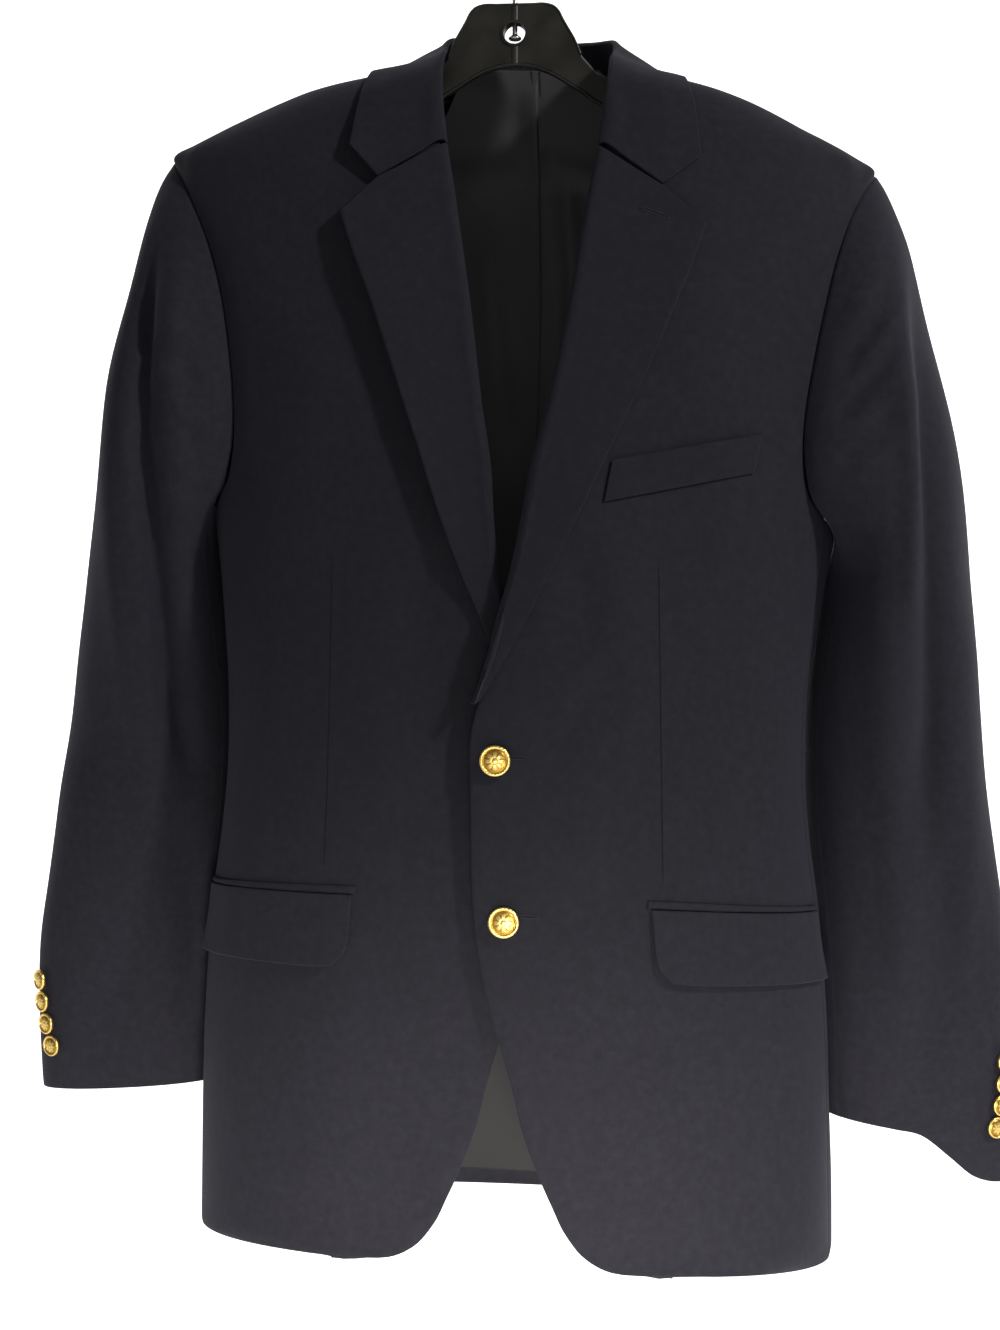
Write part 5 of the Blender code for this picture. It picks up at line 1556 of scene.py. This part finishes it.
# Dart lines on the fronts: x and z at the top, x and z at the bottom, width.
LEFT_DART = (0.101, -0.466, 0.104, -0.685, 0.0008)
RIGHT_DART = (-0.111, -0.466, -0.1165, -0.674, 0.0008)
LEFT_BUTTONHOLES = ((0.0085, -0.5977), (0.015, -0.6985))
SLEEVE_PAINTED_LIGHT = 1.22  # painted light: the sleeves' wool is the body's, painted this much lighter for how the light falls on them
THREAD_LIGHTER = 1.6
PALETTE = {}


def palette():
    """The blazer's materials, made once."""
    if PALETTE:
        return PALETTE
    look = bpy.context.scene.blazer
    cloth = tuple(look.wool)
    groups = {"weave": twill_weave(), "line": dart_line_mask()}
    PALETTE["wool"] = wool("navy wool", cloth, groups)
    # painted light: the sleeves take a lighter copy of the body's wool
    PALETTE["sleeve"] = wool("navy wool, sleeves, painted lighter", times(cloth, SLEEVE_PAINTED_LIGHT), groups)
    PALETTE["left_front"] = wool("navy wool, left front", cloth, groups, LEFT_DART)
    PALETTE["right_front"] = wool("navy wool, right front", cloth, groups, RIGHT_DART)
    PALETTE["lapel"] = wool("navy wool, lapels", tuple(look.lapel), groups)
    PALETTE["lining"] = satin("black lining, painted light and shade", tuple(look.lining))
    PALETTE["gold"] = old_gold("gilt metal", tuple(look.gold))
    PALETTE["plastic"] = moulded_plastic("black plastic", tuple(look.plastic))
    PALETTE["steel"] = bright_steel("plated steel", (0.62, 0.62, 0.62))
    PALETTE["thread"] = wool("navy thread", times(cloth, THREAD_LIGHTER), groups)
    return PALETTE


def settle(item, nodes=()):
    """Rides on the one body and stands for its nodes, which it hides."""
    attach(item, "root")
    if nodes:
        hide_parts(*nodes)
    return item


FRONTS = (("left_front", 1, left_front_lift), ("right_front", -1, no_lift))


class BLAZER_OT_body(bpy.types.Operator):
    """Fronts, side bodies and backs"""
    bl_idname = "blazer.body"
    bl_label = "Body"

    def execute(self, context):
        cloth = palette()
        wall = context.scene.blazer.wall
        for name, side, lift in FRONTS:
            settle(front_panel(name, side, lift, wall, cloth[name]), (name,))
        for word, side, lift in (("left", 1, left_back_lift), ("right", -1, no_lift)):
            beside = word + "_side"
            settle(side_panel(beside, side, wall, cloth["wool"]), (beside,))
            back = word + "_back"
            settle(back_panel(back, side, lift, wall, cloth["wool"]), (back,))
        return {"FINISHED"}


class BLAZER_OT_sleeves(bpy.types.Operator):
    """Top and under sleeves"""
    bl_idname = "blazer.sleeves"
    bl_label = "Sleeves"

    def execute(self, context):
        cloth = palette()["sleeve"]
        wall = context.scene.blazer.wall
        for word, side in zip(SIDES, (1, -1)):
            for part, first, last, beside in (
                ("_top_sleeve", BACK_SEAM_STEP, FRONT_SEAM_STEP, "_front"),
                ("_under_sleeve", FRONT_SEAM_STEP, RING_STEPS + BACK_SEAM_STEP, "_back"),
            ):
                item = sleeve_part(word + part, side, first, last, wall, cloth)
                settle(item, (word + part,))
        return {"FINISHED"}


class BLAZER_OT_lapels(bpy.types.Operator):
    """Both lapels and the collar"""
    bl_idname = "blazer.lapels"
    bl_label = "Lapels and Collar"

    def execute(self, context):
        cloth = palette()["lapel"]
        for name, side, lift in FRONTS:
            tree = tree_of(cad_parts[name])
            leaf = name.replace("front", "lapel")
            settle(lapel(leaf, side, lift, tree, cloth), (leaf,))
        both = outer_tree((
            (1, front_edges(), FRONT_COLUMNS, left_front_lift),
            (-1, front_edges(), FRONT_COLUMNS, no_lift),
            (1, back_edges(False), BACK_COLUMNS, left_back_lift),
            (-1, back_edges(False), BACK_COLUMNS, no_lift),
        ))
        settle(collar(both, left_front_lift, cloth), ("collar",))
        return {"FINISHED"}


class BLAZER_OT_pockets(bpy.types.Operator):
    """Hip flaps with their jets, and the breast welt"""
    bl_idname = "blazer.pockets"
    bl_label = "Pockets"

    def execute(self, context):
        cloth = palette()["wool"]
        for name, side, lift in FRONTS:
            tree = tree_of(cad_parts[name])
            flap = name.replace("front", "flap")
            strip = name.replace("front", "jet")
            item = patch(flap, 6, 12, flap_place, side, lift, tree, LEAF_WALL, cloth)
            settle(item, (flap,))
            item = patch(strip, 3, 12, jet_place, side, lift, tree, JET_WALL, cloth)
            settle(item, (strip,))
            if side > 0:
                item = patch("chest_welt", 4, 9, welt_place, side, lift, tree, WELT_WALL, cloth)
                settle(item, ("chest_welt",))
        return {"FINISHED"}


class BLAZER_OT_lining(bpy.types.Operator):
    """The back lining with its centre pleat"""
    bl_idname = "blazer.lining"
    bl_label = "Lining"

    def execute(self, context):
        nodes = ("left_lining", "right_lining", "neck_lining")
        settle(back_lining(palette()["lining"]), nodes)
        return {"FINISHED"}


class BLAZER_OT_buttons(bpy.types.Operator):
    """Two front buttons and four on each cuff, with the worked buttonholes"""
    bl_idname = "blazer.buttons"
    bl_label = "Buttons"

    def execute(self, context):
        gold = palette()["gold"]
        tree = SURFACES["left_front"]
        for i, (x, z) in enumerate(zip((-0.0021, 0.0036), BUTTON_Z)):
            place, normal = on_body(tree, angle_of(x, z), z, 1, left_front_lift, 0.0001)
            name = f"front_button_{i + 1}"
            item = gilt_button("gilt_" + name, place, normal, FRONT_BUTTON_RADIUS, 0.002, 96, gold)
            settle(item, (name,))
        for word, side in (("left", 1), ("right", -1)):
            for i, (point, normal) in enumerate(cuff_places(side)):
                name = f"{word}_cuff_button_{i + 1}"
                place = seat(word + "_top_sleeve", point, normal)
                item = gilt_button("gilt_" + name, place, normal, CUFF_BUTTON_RADIUS, 0.0014, 72, gold)
                settle(item, (name,))
        thread = palette()["thread"]
        for i, (x, z) in enumerate(LEFT_BUTTONHOLES):
            item = buttonhole(f"buttonhole_{i + 1}", "left_front", x, z, 0.021, -0.03, thread)
            settle(item)
        item = buttonhole("lapel_buttonhole", "left_lapel", 0.0985, -0.2452, 0.019, -0.4, thread)
        settle(item)
        return {"FINISHED"}


class BLAZER_OT_hanger(bpy.types.Operator):
    """The moulded hanger's rims and finish, and its wire hook"""
    bl_idname = "blazer.hanger"
    bl_label = "Hanger"

    def execute(self, context):
        looks = palette()
        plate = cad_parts["hanger"]
        for place in plate.material_slots:
            place.material = looks["plastic"]
        settle(hub_rims(looks["plastic"]))
        settle(wire_hook(looks["steel"]), ("hook",))
        return {"FINISHED"}


class BLAZER_OT_stage(bpy.types.Operator):
    """Camera, soft lights and a pale floor"""
    bl_idname = "blazer.stage"
    bl_label = "Stage"

    def execute(self, context):
        studio_camera()
        pale, tree, shader = new_material("pale backdrop", (0.94, 0.94, 0.94), {
            "Roughness": 0.9, "Specular IOR Level": 0.0})
        glow_behind(tree, shader, GLOW)
        backdrop(pale)
        lamp("key", "AREA", (1.75, -1.35, 0.9), (0.0, 0.0, -0.45), 47.0, (1.0, 0.99, 0.97),
             shape="DISK", size=0.22)
        lamp("low fill", "SPOT", (0.15, -1.3, -0.95), (0.0, 0.0, -1.18), 160.0, (1.0, 0.96, 0.9),
             spot_size=math.radians(56), spot_blend=1.0, shadow_soft_size=0.16)
        world = bpy.data.worlds.new("studio")
        world.use_nodes = True
        sky = world.node_tree.nodes["Background"].inputs
        feed(sky["Color"], (1.0, 1.0, 1.0, 1.0))
        feed(sky["Strength"], SKY)
        context.scene.world = world
        context.scene.view_settings.view_transform = "Standard"
        return {"FINISHED"}


STEPS = (
    BLAZER_OT_stage, BLAZER_OT_body, BLAZER_OT_sleeves, BLAZER_OT_lapels, BLAZER_OT_pockets, BLAZER_OT_lining,
    BLAZER_OT_buttons, BLAZER_OT_hanger,
)


class BLAZER_PT_panel(bpy.types.Panel):
    bl_label = "Blazer"
    bl_idname = "BLAZER_PT_panel"
    bl_space_type = "VIEW_3D"
    bl_region_type = "UI"
    bl_category = "Blazer"

    def draw(self, context):
        look = context.scene.blazer
        for name in ("wool", "lapel", "lining", "gold", "plastic", "wall"):
            self.layout.prop(look, name)
        for step in STEPS:
            self.layout.operator(step.bl_idname)


CLASSES = (BlazerSettings, *STEPS, BLAZER_PT_panel)


def register():
    for item in CLASSES:
        bpy.utils.register_class(item)
    bpy.types.Scene.blazer = bpy.props.PointerProperty(type=BlazerSettings)


def unregister():
    del bpy.types.Scene.blazer
    for item in reversed(CLASSES):
        bpy.utils.unregister_class(item)


def main():
    register()
    for step in STEPS:
        group_name, call = step.bl_idname.split(".")
        getattr(getattr(bpy.ops, group_name), call)()


if __name__ == "__main__":
    main()
